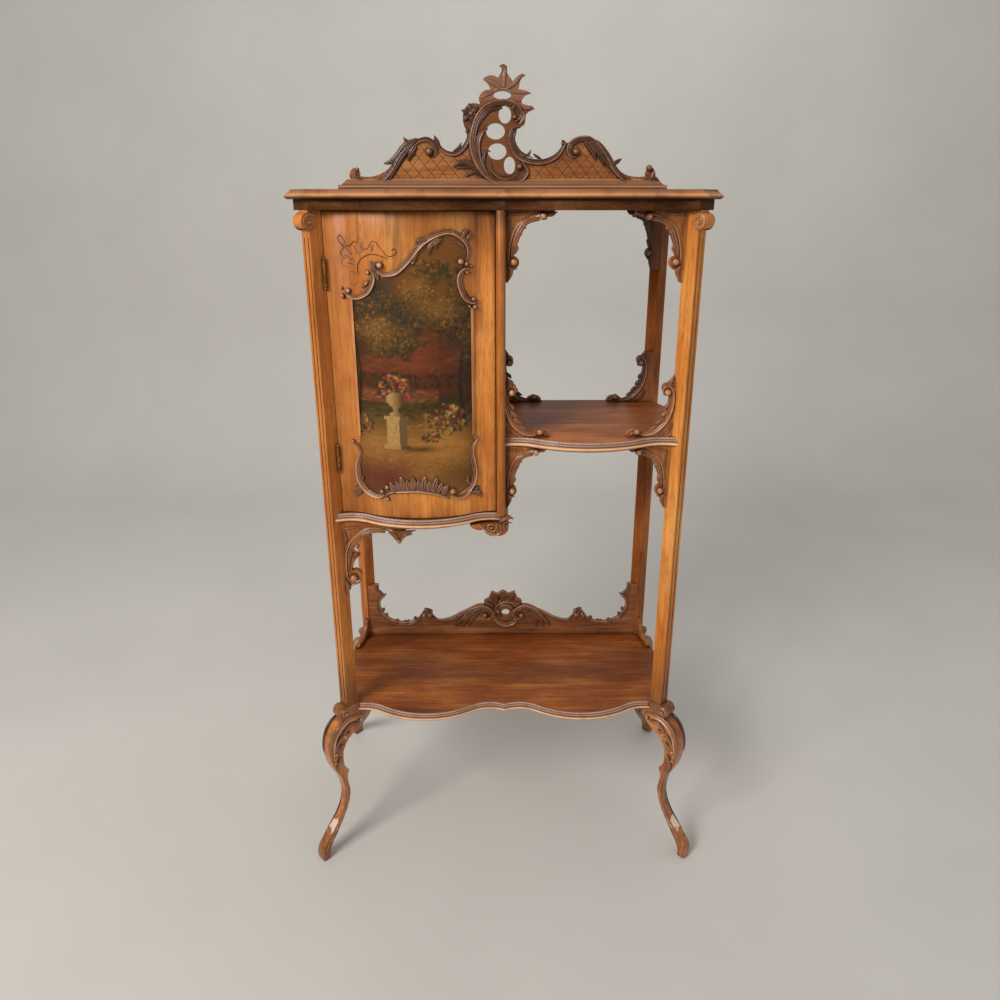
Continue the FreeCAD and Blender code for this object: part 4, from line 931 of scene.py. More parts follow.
HEAD_KNOBS = [(-108, -128, 4.5), (-119, -137, 4), (-120, -124, 2.5), (-71, -97, 3.5), (-50, -85, 5.5),
              (-75, -115, 3), (83, -80, 5.5), (92, -84, 4), (99, -88, 2.5), (93, -98, 3), (103, -142, 4),
              (105, -155, 4), (96, -154, 2.5), (42, -57, 2), (5, -81, 2.5)]

# %% Door foot strokes
FOOT = [
    leaf(5, (-118, 141), (-108, 131), (-102, 118)),
    scroll(9, (-104, 119), (-111, 96), (-110, 68), (-97, 48), (-76, 40), (-63, 45)),
    scroll(6, (-58, 37), (-59, 46), (-44, 53), (-4, 57), (30, 51), (56, 38)),
    scroll(7, (57, 47), (72, 38), (90, 47), (102, 78), (97, 125), (107, 147)),
    leaf(7, (-104, 52), (-112, 43), (-119, 33)),
    leaf(5, (-108, 54), (-115, 49), (-121, 42)),
    leaf(7, (95, 45), (107, 42), (112, 32)),
    leaf(5, (99, 49), (105, 50), (110, 53)),
    leaf(4, (93, 58), (88, 69), (89, 78)),
    leaf(4, (-107, 66), (-103, 72), (-104, 77)),
]
FOOT_KNOBS = [(-117, 140, 3), (-67, 52, 4), (-57, 61, 4), (-57, 38, 3.5), (62, 53, 6), (112, 36, 2.5),
              (107, 147, 2)]
LOBES, LOBE_FIRST, LOBE_STEP = 11, -43.0, 8.6
SHELL_MIDDLE, SHELL_TOP, SHELL_CURVE = -6, 58.0, 230
LONG_LOBE, SHORT_LOBE = (26, 0.26, 10), (19, 0.22, 9)
for k in range(LOBES):
    root = LOBE_FIRST + LOBE_STEP * k
    level = SHELL_TOP - (root - SHELL_MIDDLE) ** 2 / SHELL_CURVE
    long_lobe = k % 2 == 0 and 0 < k < LOBES - 1
    rise, lean, width = LONG_LOBE if long_lobe else SHORT_LOBE
    tip = root + lean * (root - SHELL_MIDDLE)
    FOOT.append(leaf(width, (root, level), ((root + tip) / 2, level + 0.55 * rise), (tip, level + rise)))
    if long_lobe:
        FOOT_KNOBS.append((tip, level + rise - 2, 2.5))

# %% Drawn ornament
LOBE_LINES = (
    ((-107, -91), (-115, -85), (-115, -79), (-110, -75)),
    ((-110, -75), (-117, -70), (-117, -64), (-111, -59)),
    ((-111, -59), (-118, -51), (-121, -43), (-117, -39), (-112, -44), (-106, -57)),
    ((-106, -57), (-99, -54), (-93, -48), (-88, -51)),
    ((-88, -51), (-85, -44), (-80, -43), (-77, -50), (-79, -57)),
    ((-79, -57), (-74, -61), (-67, -57), (-63, -49), (-57, -48), (-50, -55), (-43, -64)),
    ((-43, -64), (-36, -71), (-27, -70), (-21, -65), (-24, -59), (-29, -62)),
    ((-88, -102), (-89, -88), (-83, -77), (-72, -70), (-60, -68), (-47, -71), (-36, -75)),
    ((-104, -116), (-96, -119), (-90, -113), (-91, -103), (-98, -97), (-104, -99)),
)
HATCH_LINES = (
    ((-107, -84), (-100, -84), (-94, -86)),
    ((-111, -70), (-104, -74), (-97, -79)),
    ((-114, -51), (-107, -60), (-99, -69)),
    ((-94, -55), (-91, -62), (-88, -70)),
    ((-82, -50), (-81, -58), (-80, -66)),
    ((-61, -53), (-62, -59), (-64, -65)),
)
LOBE_LINE, HATCH_LINE, STAIN_WIDE, STAIN_ASIDE = 0.9, 0.6, 5, 2
LINES = [line(LOBE_LINE, *points) for points in LOBE_LINES]
LINES += [line(HATCH_LINE, *points) for points in HATCH_LINES]
STAINS = [leaf(STAIN_WIDE, *((u + STAIN_ASIDE, v + STAIN_ASIDE) for u, v in reversed(points)))
          for points in HATCH_LINES]

# %% Knee strokes
KNEE = [
    scroll(14, (-8, 297), (-17, 300), (-14, 309), (12, 314), (39, 305), (54, 283), (59, 254), (55, 226)),
    leaf(11, (-4, 296), (14, 299), (27, 289), (31, 274)),
    leaf(11, (16, 283), (36, 280), (49, 263), (53, 244)),
    leaf(10, (34, 264), (47, 250), (55, 224)),
    leaf(7, (41, 236), (49, 216), (45, 196)),
    scroll(4, (42, 192), (34, 164), (30, 138), (35, 110), (48, 85), (66, 64), (81, 45), (91, 25)),
]
KNEE_KNOBS = [(-11, 302, 4.5), (29, 280, 4.5), (52, 249, 4.5), (54, 228, 3.6)]
print(len(HEAD) + len(FOOT) + len(LINES), "strokes on the door,", len(KNEE), "on each side of a leg")

# %% [markdown]
# ## From drawing to wood
# A stroke becomes wood by sweeping a gouge's profile along it. That is what Curve to Mesh does, with the
# point's radius as the scale, so one small tree serves every scroll, leaf and line on the stand. A second
# tree puts a ball on every knob. A class builds such a tree step by step, with named inputs for what
# changes.

# %% A geometry tree, step by step
class Steps:
    """A geometry node tree with named inputs."""

    def __init__(self, name, **inputs):
        self.tree = bpy.data.node_groups.new(name, "GeometryNodeTree")
        sockets = self.tree.interface
        for key, kind in {"Geometry": "Geometry", **inputs}.items():
            sockets.new_socket(key, in_out="INPUT", socket_type="NodeSocket" + kind)
        sockets.new_socket("Geometry", in_out="OUTPUT", socket_type="NodeSocketGeometry")
        self.given = self.tree.nodes.new("NodeGroupInput").outputs

    def node(self, kind, settings=None, inputs=None, out=0):
        made = self.tree.nodes.new(kind if "Node" in kind else "GeometryNode" + kind)
        for key, value in (settings or {}).items():
            setattr(made, key, value)
        for key, value in (inputs or {}).items():
            if isinstance(value, bpy.types.NodeSocket):
                self.tree.links.new(value, made.inputs[key])
            else:
                made.inputs[key].default_value = value
        return made.outputs[out]

    def place(self, axis):
        return self.node("ShaderNodeSeparateXYZ", None, {0: self.node("InputPosition")}, out=axis)

    def note(self, geometry, name, value):
        inputs = {"Geometry": geometry, "Name": name, "Value": value}
        return self.node("StoreNamedAttribute", {"data_type": "FLOAT", "domain": "POINT"}, inputs)

    def end(self, geometry):
        finished = self.node("SetMaterial", None, {"Geometry": geometry, "Material": self.given["Material"]})
        finished = self.node("RealizeInstances", None, {"Geometry": finished})
        self.tree.links.new(finished, self.tree.nodes.new("NodeGroupOutput").inputs[0])
        return self.tree


# %% [markdown]
# Both trees note on their points what the carved finish wants to know: how high a point is on its ridge.
# The stroke tree also notes how far along the stroke it lies, and how far across.

# %% Trees for strokes and knobs
def stroke_tree():
    steps = Steps("carved_stroke", Profile="Object", Material="Material", Smoothness="Int")
    given = steps.given
    path = steps.node("CurveSplineType", {"spline_type": "CATMULL_ROM"}, {"Curve": given["Geometry"]})
    path = steps.node("SetSplineResolution", None, {"Geometry": path, "Resolution": given["Smoothness"]})
    path = steps.node("SetCurveNormal", {"mode": "Z_UP"}, {"Curve": path})
    width = steps.node("InputRadius")
    path = steps.note(path, "reach", width)
    path = steps.note(path, "along", steps.node("SplineParameter", out="Length"))
    gouge = steps.node("ObjectInfo", None, {"Object": given["Profile"]}, out="Geometry")
    gouge = steps.note(gouge, "across", steps.place("X"))
    gouge = steps.note(gouge, "ridge", steps.place("Y"))
    sweep = {"Curve": path, "Profile Curve": gouge, "Scale": width, "Fill Caps": True}
    return steps.end(steps.node("SetShadeSmooth", None, {"Geometry": steps.node("CurveToMesh", None, sweep)}))


def knob_tree():
    steps = Steps("carved_knobs", Material="Material", Roundness="Int")
    given = steps.given
    ball = steps.node("MeshIcoSphere", None, {"Radius": 1.0, "Subdivisions": given["Roundness"]}, out="Mesh")
    # A knob's ridge is its height, so its top takes the pale ridge colour, partly a painted highlight.
    ball = steps.note(ball, "ridge", steps.place("Z"))
    ball = steps.node("SetShadeSmooth", None, {"Geometry": ball})
    size = steps.node("InputNamedAttribute", None, {"Name": "size"})
    points = steps.node("MeshToPoints", None, {"Mesh": given["Geometry"]})
    balls = {"Points": points, "Instance": ball, "Scale": size}
    return steps.end(steps.node("InstanceOnPoints", None, balls))


STROKE_TREE, KNOB_TREE = stroke_tree(), knob_tree()
print(len(STROKE_TREE.nodes), "nodes sweep a stroke,", len(KNOB_TREE.nodes), "set the knobs")

# %% [markdown]
# A gouge's profile is a short closed outline, one unit to each side: two uneven ridges for a scroll, two
# halves with a vein between them for a leaf, a low round for a line. The profile's up turns over in the
# sweep, so it is drawn upside down. Strokes that cross lie in layers, which keeps their faces apart.

# %% Gouges and curves
LAYER, LAYERS = 0.5, 4


def plain_mesh(carrier, tree, **values):
    """Runs a tree on an object and returns the result as a plain mesh."""
    modifier = carrier.modifiers.new("steps", "NODES")
    modifier.node_group = tree
    for item in tree.interface.items_tree:
        if item.in_out == "INPUT" and item.name in values:
            modifier[item.identifier] = values[item.name]
    result = bpy.data.meshes.new_from_object(carrier.evaluated_get(bpy.context.evaluated_depsgraph_get()))
    carrier.modifiers.remove(modifier)
    bpy.data.objects.remove(carrier)
    return result


def poly_curve(name, paths, closed=False):
    """A curve of straight runs, one for each path of (x, y, radius). Neighbours lie at different heights."""
    curve = bpy.data.curves.new(name, "CURVE")
    curve.dimensions = "3D"
    for k, path in enumerate(paths):
        spline = curve.splines.new("POLY")
        spline.points.add(len(path) - 1)
        spline.use_cyclic_u = closed
        for point, (x, y, radius) in zip(spline.points, path):
            point.co, point.radius = (x, y, LAYER * (k % LAYERS), 1.0), radius
    made = bpy.data.objects.new(name, curve)
    scene.collection.objects.link(made)
    return made


GOUGES = {
    "scroll": [(-1.0, -0.1), (-0.98, 0.30), (-0.86, 0.56), (-0.72, 0.62), (-0.61, 0.52), (-0.52, 0.30),
               (-0.40, 0.38), (-0.24, 0.62), (-0.08, 0.68), (0.04, 0.58), (0.12, 0.46), (0.26, 0.70),
               (0.46, 0.98), (0.68, 1.0), (0.88, 0.70), (1.0, 0.1), (0.9, -0.5), (-0.9, -0.5)],
    "leaf": [(-1.0, 0.0), (-0.84, 0.34), (-0.64, 0.50), (-0.51, 0.38), (-0.38, 0.60), (-0.22, 0.68),
             (-0.09, 0.46), (0.0, 0.20), (0.09, 0.46), (0.22, 0.68), (0.38, 0.60), (0.51, 0.38),
             (0.64, 0.50), (0.84, 0.34), (1.0, 0.0), (0.8, -0.4), (-0.8, -0.4)],
    "line": [(-1.0, -0.4), (-0.7, 0.3), (0.0, 0.5), (0.7, 0.3), (1.0, -0.4)],
}
gouges = {}
for kind, profile in GOUGES.items():
    gouges[kind] = poly_curve(kind + "_gouge", [[(x, -y, 1.0) for x, y in profile]], closed=True)
print("gouges:", ", ".join(gouges))

# %% [markdown]
# ## Laying the carving on its boards
# The swept strokes lie flat, with their relief upwards. A place function turns (across, up, relief) into
# the point on the board: straight forward from a flat board, or forward from the bowed door. Where the
# drawing is mirrored, the faces are turned back, so that they still point outwards. Broad strokes are kept
# flatter than thin ones, as a carver has only so much wood in front of the ground.

# %% Gather the swept strokes
NOTES = ("ridge", "along", "across", "leafy")
LEAFY = {"scroll": 0.0, "leaf": 1.0, "line": 0.0, "knob": 0.0}
FLAT_FROM, LEAF_LIFT = 10.0, 1.2


def values_of(mesh, name, count):
    """A note of a mesh as an array, zero where the mesh doesn't carry it."""
    values = np.zeros(count)
    if name in mesh.attributes:
        mesh.attributes[name].data.foreach_get("value", values)
    return values


def gather(mesh, kind):
    """The points, faces and notes of a mesh, which is then given up."""
    count = len(mesh.vertices)
    spots = np.empty(3 * count)
    mesh.vertices.foreach_get("co", spots)
    spots = spots.reshape(-1, 3)
    notes = {key: values_of(mesh, key, count) for key in NOTES}
    notes["leafy"][:] = LEAFY[kind]
    if kind != "knob":
        notes["ridge"] *= -1
        spots[:, 2] /= 1 + (values_of(mesh, "reach", count) / FLAT_FROM) ** 2
        spots[:, 2] += LEAF_LIFT if kind == "leaf" else 0.0
    faces = [tuple(face.vertices) for face in mesh.polygons]
    bpy.data.meshes.remove(mesh)
    return spots, faces, notes


# %% Sweep strokes and knobs
SMOOTHNESS, ROUNDNESS, KNOB_LIFT = 8, 3, 0.5


def swept(name, strokes, material, bold):
    """The meshes of all strokes of a drawing, one for each kind of gouge."""
    groups = {}
    for kind, path in strokes:
        groups.setdefault(kind, []).append([(u, v, bold * width / 2) for u, v, width in path])
    for kind, paths in groups.items():
        carrier = poly_curve(name + "_" + kind, paths)
        mesh = plain_mesh(carrier, STROKE_TREE, Profile=gouges[kind], Material=material,
                          Smoothness=SMOOTHNESS)
        yield gather(mesh, kind)


def balls(name, knobs, material):
    """The mesh of a drawing's knobs."""
    dots = bpy.data.meshes.new(name + "_dots")
    dots.from_pydata([(u, v, KNOB_LIFT * radius) for u, v, radius in knobs], [], [])
    sizes = [radius for _, _, radius in knobs]
    dots.attributes.new("size", "FLOAT", "POINT").data.foreach_set("value", sizes)
    carrier = bpy.data.objects.new(name + "_dots", dots)
    scene.collection.objects.link(carrier)
    return gather(plain_mesh(carrier, KNOB_TREE, Material=material, Roundness=ROUNDNESS), "knob")


# %% [markdown]
# A finished piece is one mesh with its notes and one finish. It rides with the body of the part that it is
# cut from, so that the door takes its carving along, and it may replace a sawn part that it stands for.

# %% A piece that rides with its part
def solid(name, spots, faces, notes, node, material, replaces=()):
    """A finished piece that rides with the body of a node."""
    mesh = bpy.data.meshes.new(name)
    mesh.from_pydata(spots.tolist(), [], faces)
    for key, values in notes.items():
        mesh.attributes.new(key, "FLOAT", "POINT").data.foreach_set("value", values)
    mesh.materials.append(material)
    mesh.shade_smooth()
    made = bpy.data.objects.new(name, mesh)
    scene.collection.objects.link(made)
    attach(made, nodes[node]["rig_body"])
    if replaces:
        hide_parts(*replaces)
    print(name, len(faces), "faces")
    return made


# %% Carve
def carve(name, strokes, knobs, place, node, material, mirrored=False, relief=1.0, bold=1.0, replaces=()):
    """Sweeps strokes and knobs, lays them with place, and lets them ride with the node that carries them."""
    pieces = list(swept(name, strokes, material, bold))
    if knobs:
        pieces.append(balls(name, knobs, material))
    spots, faces, notes = [], [], {key: [] for key in NOTES}
    for some_spots, some_faces, some_notes in pieces:
        first = sum(len(block) for block in spots)
        faces += [tuple(first + i for i in (reversed(face) if mirrored else face)) for face in some_faces]
        spots.append(some_spots)
        for key in NOTES:
            notes[key].append(some_notes[key])
    u, v, h = np.concatenate(spots).T
    laid = np.stack(place(u, v, relief * h), axis=1) * MM
    notes = {key: np.concatenate(blocks) for key, blocks in notes.items()}
    return solid(name, laid, faces, notes, node, material, replaces)


def on_board(x0, face_y, z0, sx=1, sz=1, kx=1.0, kz=1.0):
    """Lays a drawing on a flat board that faces the front."""
    return lambda u, v, h: (x0 + sx * kx * u, face_y - h, z0 + sz * kz * v)


# %% [markdown]
# ### Crest
# The crest's strokes lie on the pierced board that the frame brings. Its finial is one thin, pale leaf with
# less relief, so it is a piece of its own.

# %% Crest
on_crest = on_board(0, CREST_FACE, PLINTH_TOP)
carve("crest_carving", CREST, CREST_KNOBS, on_crest, "crest_board", dark_carving)
carve("crest_finial", FINIAL, [], on_crest, "crest_board", finial_carving, relief=0.6)

# %% [markdown]
# ### Brackets
# Most brackets are cut from two drawings. The hanging one fits under the top and under the middle shelf,
# the standing one sits on the middle shelf. Each is laid from its upright and its board, and mirrored for
# the other side. The bracket and the pendant under the cabinet are laid the same way, from their own
# drawings.

# %% Brackets
DIVIDER, POST_EDGE, FRONT_FACE, REAR_FACE = 2.0, 299.3, -142.0, 116.0
UNDER_SHELF, UNDER_CABINET = MIDDLE_SHELF - SHELF_THICK, CABINET_FLOOR - SHELF_THICK
PENDANT_FACE, CORNER_FACE = -160.0, -153.0
ROWS = {
    "top_bracket_front": (HANGING, HANGING_KNOBS, FRONT_FACE, FRIEZE_FOOT, -1, 1.0, 1.0, warm_carving),
    # The rear brackets take the darker carving finish as painted shade.
    "top_bracket_rear": (HANGING, HANGING_KNOBS, REAR_FACE, FRIEZE_FOOT, -1, 0.66, 1.0, dark_carving),
    "under_shelf_bracket": (HANGING, HANGING_KNOBS, FRONT_FACE, UNDER_SHELF, -1, 0.9, 1.03, warm_carving),
    "shelf_scroll_front": (STANDING, STANDING_KNOBS, FRONT_FACE, MIDDLE_SHELF, 1, 1.0, 1.0, warm_carving),
    "shelf_scroll_rear": (STANDING, STANDING_KNOBS, REAR_FACE, MIDDLE_SHELF, 1, 1.0, 1.0, dark_carving),
}
for row, (strokes, knobs, face_y, level, up, kx, kz, material) in ROWS.items():
    for side, wall, sx in (("left", DIVIDER, 1), ("right", POST_EDGE, -1)):
        node = row + "_" + side
        place = on_board(wall, face_y, level, sx, up, kx, kz)
        carve(node + "_carving", strokes, knobs, place, node, material, mirrored=sx * up < 0)
place = on_board(-POST_EDGE, FRONT_FACE, UNDER_CABINET, 1, -1)
carve("cabinet_bracket_carving", CABINET, CABINET_KNOBS, place, "cabinet_bracket", warm_carving,
      mirrored=True)
place = on_board(BAY_RIGHT, PENDANT_FACE, UNDER_CABINET)
carve("cabinet_pendant_carving", PENDANT, PENDANT_KNOBS, place, "cabinet_pendant", warm_carving)
place = on_board(BAY_RIGHT, CORNER_FACE, UNDER_CABINET)
carve("cabinet_corner_leaf", CORNER_LEAF, [], place, "cabinet_bottom", warm_carving)

# %% [markdown]
# ### Back gallery
# The run of scrolls is laid to both sides of the board's middle, and the medallion over the joint.

# %% Gallery
for side, sx in (("left", -1), ("right", 1)):
    place = on_board(0, GALLERY_FACE, LOWER_SHELF, sx, 1)
    carve("gallery_carving_" + side, GALLERY, GALLERY_KNOBS, place, "lower_gallery", gallery_carving,
          mirrored=sx < 0)
place = on_board(0, GALLERY_FACE, LOWER_SHELF)
carve("gallery_medallion", MEDALLION, MEDALLION_KNOBS, place, "lower_gallery", gallery_carving)

# %% [markdown]
# ### Door frame
# The frame round the painted panel follows the door's bow, so its strokes are laid forward from the bowed
# face: a hollow near each end with a swell between them, all tangent arcs. The strokes stand for the two
# sawn mouldings of the frame, which they replace.

# %% Door mouldings
DOOR_END, DOOR_BOW, HOLLOW_RADIUS, HOLLOW_WIDE = -146.0, 34.0, 70.0, 30.0
BOLD, BOLD_RELIEF = 1.45, 1.3


def door_face(x):
    """Where the door's bowed face lies at x."""
    hollow = DOOR_END + HOLLOW_RADIUS - math.sqrt(HOLLOW_RADIUS ** 2 - HOLLOW_WIDE ** 2)
    run = BAY_HALF - HOLLOW_WIDE
    radii = (run ** 2 + DOOR_BOW ** 2) / (2 * DOOR_BOW)
    swell = radii - HOLLOW_RADIUS
    off = np.abs(np.asarray(x, dtype=float) - BAY_MIDDLE)
    inner = BAY_HALF - off - HOLLOW_WIDE
    at_end = hollow - HOLLOW_RADIUS + np.sqrt(np.maximum(HOLLOW_RADIUS ** 2 - inner ** 2, 0.0))
    at_middle = hollow - DOOR_BOW + swell - np.sqrt(np.maximum(swell ** 2 - off ** 2, 0.0))
    return np.where(off > run * swell / radii, at_end, at_middle)


def on_door(level):
    """Lays a drawing on the bowed door, from a level up."""
    return lambda u, v, h: (BAY_MIDDLE + u, door_face(BAY_MIDDLE + u) - h, level + v)


carve("door_head_moulding", HEAD, HEAD_KNOBS, on_door(FRIEZE_FOOT), "door_panel", door_moulding,
      relief=BOLD_RELIEF, bold=BOLD, replaces=("door_head_carving",))
carve("door_foot_moulding", FOOT, FOOT_KNOBS, on_door(CABINET_FLOOR), "door_panel", door_moulding,
      relief=BOLD_RELIEF, bold=BOLD, replaces=("door_foot_carving",))
carve("door_drawn_ornament", LINES, [], on_door(FRIEZE_FOOT), "door_panel", burnt_line)
carve("door_drawn_shading", STAINS, [], on_door(FRIEZE_FOOT), "door_panel", old_stain, relief=0.1)

# %% [markdown]
# ### Legs and volutes
# The knees are carved on both faces. The strokes are drawn in the leg's own plane, which stands on the
# diagonal of its corner, and laid outwards from its tapering sides. The rolls at the head of the front
# posts and of the legs end in a spiral, cut into the same two faces. A spiral is a rule, so a loop draws
# it.

# %% Knees and spirals
LEG_HEIGHTS = (0, 18, 60, 110, 150, 200, 250, 300, 345)
LEG_HALVES = (11, 11.5, 10, 9, 9.5, 11.5, 13, 14.5, 15)
KNEE_INWARD, BLOCK_HALF, VOLUTE_HALF = 3.0, 14.6, 12.5
ROLL_OUT, ROLL_LEVEL, ROLL_SIZE = 19.0, 331.0, 9.0
VOLUTE_OUT, VOLUTE_LEVEL, VOLUTE_SIZE = 12.0, 1277.0, 14.5
SPIRAL_WIDE, ROLL_EYE, VOLUTE_EYE = 5.0, 3.4, 3.0
CORNERS = (("front_left", -1, -1), ("front_right", 1, -1), ("rear_left", -1, 1), ("rear_right", 1, 1))


def on_leg(sx, sy, face, half=None, inward=0.0):
    """Lays a drawing (outward, up) on one of the two sides of a corner's leg or post."""
    def place(r, z, h):
        off = face * ((np.interp(z, LEG_HEIGHTS, LEG_HALVES) if half is None else half) + h)
        out = r - inward
        return sx * POST_X + (sx * out - sy * off) / ROOT2, sy * POST_Y + (sy * out + sx * off) / ROOT2, z

    return place


def spiral(r, z, size, start, turns):
    """A stroke that rolls inwards round (r, z), clockwise from an angle in degrees."""
    path = []
    for share in np.linspace(0.0, 1.0, int(12 * turns)):
        angle = math.radians(start - 360 * turns * share)
        reach = size * (1 - 0.82 * share)
        width = SPIRAL_WIDE * (1 - 0.45 * share)
        path.append((r + reach * math.cos(angle), z + reach * math.sin(angle), width))
    return "scroll", path


roll, roll_eye = [spiral(ROLL_OUT, ROLL_LEVEL, ROLL_SIZE, 120, 1.25)], [(ROLL_OUT, ROLL_LEVEL, ROLL_EYE)]
volute = [spiral(VOLUTE_OUT, VOLUTE_LEVEL, VOLUTE_SIZE, 130, 1.75)]
volute_eye = [(VOLUTE_OUT, VOLUTE_LEVEL, VOLUTE_EYE)]
for corner, sx, sy in CORNERS:
    for side, face in (("a", -1), ("b", 1)):
        place = on_leg(sx, sy, face, inward=KNEE_INWARD)
        carve(f"{corner}_knee_{side}", KNEE, KNEE_KNOBS, place, corner + "_leg", leg_carving,
              mirrored=face > 0, relief=0.9)
        place = on_leg(sx, sy, face, BLOCK_HALF)
        carve(f"{corner}_roll_{side}", roll, roll_eye, place, corner + "_leg", leg_carving, mirrored=face > 0)
        if sy < 0:
            place = on_leg(sx, sy, face, VOLUTE_HALF)
            carve(f"{corner}_volute_{side}", volute, volute_eye, place, corner + "_volute", warm_carving,
                  mirrored=face > 0, relief=0.6)
for gouge in gouges.values():
    bpy.data.objects.remove(gouge)

# %% [markdown]
# ## Painted panel
# The door's panel is painted in oil on the wood: an evening garden with a flower urn by a pond, between
# dark trees, made up for this stand in the colours of such panels. It is painted into a field of colours in
# memory, a millimetre to each spot, which the panel's points then carry as an attribute. Washes come first,
# then hundreds of dabs of a flat brush. The dabs fall by a seeded draw, so every run paints the same.

# %% Canvas
PAINT_LEFT, PAINT_WIDE, PAINT_LOW, PAINT_HIGH, PAINT_SEED = -111.0, 218.0, 800.0, 464.0, 11


class Canvas:
    """A field of colour for washes and dabs, with (0, 0) at its lower left and (1, 1) at its upper right."""

    def __init__(self, wide, high, seed):
        self.wide, self.high, self.dice = wide, high, np.random.default_rng(seed)
        self.s, self.t = np.meshgrid(np.linspace(0, 1, wide), np.linspace(0, 1, high))
        self.field = np.zeros((high, wide, 3))

    def grade(self, stops):
        levels, colours = [level for level, _ in stops], np.array([colour for _, colour in stops])
        for i in range(3):
            self.field[..., i] = np.interp(self.t, levels, colours[:, i])

    def wash(self, colour, mask, strength=1.0):
        self.field += (np.array(colour) - self.field) * (strength * np.clip(mask, 0, 1))[..., None]

    def glow(self, colour, s, t, rs, rt, strength):
        self.wash(colour, np.exp(-((self.s - s) / rs) ** 2 - ((self.t - t) / rt) ** 2), strength)

    def dab(self, s, t, long, short, turn, colour, strength):
        """One touch of a flat brush, in pixels, with a soft edge."""
        x, y = s * (self.wide - 1), t * (self.high - 1)
        reach = int(long) + 2
        x0, x1 = max(0, int(x) - reach), min(self.wide, int(x) + reach + 1)
        y0, y1 = max(0, int(y) - reach), min(self.high, int(y) + reach + 1)
        if x1 <= x0 or y1 <= y0:
            return
        dx, dy = np.meshgrid(np.arange(x0, x1) - x, np.arange(y0, y1) - y)
        along = (dx * math.cos(turn) + dy * math.sin(turn)) / long
        aside = (dy * math.cos(turn) - dx * math.sin(turn)) / short
        mask = np.clip(1.6 - 1.6 * np.sqrt(along ** 2 + aside ** 2), 0, 1) * strength
        patch = self.field[y0:y1, x0:x1]
        patch += (np.array(colour) - patch) * mask[..., None]

    def dabs(self, count, s, t, rs, rt, colours, long=5.0, short=2.2, turn=None, strength=0.7):
        """Many dabs strewn over an ellipse."""
        for _ in range(count):
            angle, far = self.dice.uniform(0, 2 * math.pi), math.sqrt(self.dice.uniform(0, 1))
            colour = times(colours[self.dice.integers(len(colours))], self.dice.uniform(0.75, 1.25))
            lean = self.dice.uniform(0, math.pi) if turn is None else turn + self.dice.normal(0, 0.25)
            size = self.dice.uniform(0.6, 1.3)
            at_s, at_t = s + rs * far * math.cos(angle), t + rt * far * math.sin(angle)
            self.dab(at_s, at_t, long * size, short * size, lean, colour, strength)

    def limb(self, points, colour, first, last):
        """A trunk or branch: dabs that thin out along a path."""
        for (s0, t0), (s1, t1) in zip(points, points[1:]):
            for share in np.linspace(0, 1, 24):
                self.dab(s0 + (s1 - s0) * share, t0 + (t1 - t0) * share, first, first, 0.0, colour, 0.8)
            first = max(last, 0.7 * first)


# %% [markdown]
# The ground of the picture goes on from the back to the front: a red evening sky with broad, cloudy dabs, a
# far hedge, the pond with its flat lights, grass, and a sandy path that winds towards the viewer.

# %% Sky, pond and path
OLIVE, UMBER, OCHRE, GLOW = rgb(62, 58, 30), rgb(44, 32, 18), rgb(182, 128, 62), rgb(168, 74, 38)
CLOUDS = [rgb(126, 62, 36), rgb(112, 72, 40), rgb(62, 46, 34)]
WATER_LIGHTS = [rgb(164, 96, 56), rgb(76, 54, 40), rgb(136, 76, 44)]
GROUND = [(0.0, rgb(84, 50, 30)), (0.10, rgb(118, 74, 40)), (0.22, rgb(156, 108, 54)),
          (0.31, rgb(104, 76, 38)), (0.39, rgb(58, 44, 26)), (0.47, rgb(90, 44, 26)), (0.56, rgb(98, 51, 30)),
          (0.68, rgb(92, 54, 27)), (0.84, rgb(88, 57, 28)), (1.0, rgb(122, 77, 35))]
POND_LEVEL, POND_DEEP, POND_END, PATH_TOP = 0.412, 0.026, 0.70, 0.345


def paint_ground(canvas):
    canvas.grade(GROUND)
    canvas.glow(rgb(142, 72, 40), 0.40, 0.53, 0.30, 0.030, 0.4)
    canvas.glow(GLOW, 0.62, 0.58, 0.35, 0.05, 0.22)
    canvas.glow(rgb(124, 80, 36), 0.72, 0.90, 0.30, 0.14, 0.8)
    canvas.glow(rgb(56, 46, 30), 0.10, 0.68, 0.35, 0.14, 0.6)
    canvas.dabs(320, 0.5, 0.60, 0.55, 0.13, CLOUDS, 10.0, 3.4, 0.1, 0.4)
    canvas.dabs(160, 0.5, 0.470, 0.60, 0.026, [UMBER, rgb(62, 40, 26), OLIVE], 5.0, 3.6, 1.57, 0.7)
    pond = np.exp(-((canvas.t - POND_LEVEL) / POND_DEEP) ** 4) * (canvas.s < POND_END)
    canvas.wash(rgb(112, 66, 42), pond, 0.8)
    canvas.dabs(190, 0.32, POND_LEVEL, 0.40, POND_DEEP, WATER_LIGHTS, 9.0, 1.0, 0.0, 0.55)
    canvas.dabs(220, 0.5, 0.355, 0.60, 0.035, [OLIVE, rgb(86, 74, 34), UMBER], 7.0, 2.0, 0.1, 0.6)
    bend = 0.60 + 0.16 * np.sin(9.0 * canvas.t)
    wide = 0.04 + 1.1 * np.clip(0.34 - canvas.t, 0, 1)
    canvas.wash(OCHRE, (1.3 - np.abs(canvas.s - bend) / wide) * (canvas.t < PATH_TOP), 0.6)
    canvas.dabs(300, 0.5, 0.20, 0.55, 0.11, [OCHRE, rgb(146, 100, 48), rgb(112, 76, 38)], 9.0, 1.6, 0.05, 0.4)
    canvas.glow(rgb(98, 46, 36), 0.22, 0.09, 0.26, 0.055, 0.85)
    canvas.glow(rgb(88, 58, 28), 0.84, 0.09, 0.25, 0.07, 0.7)


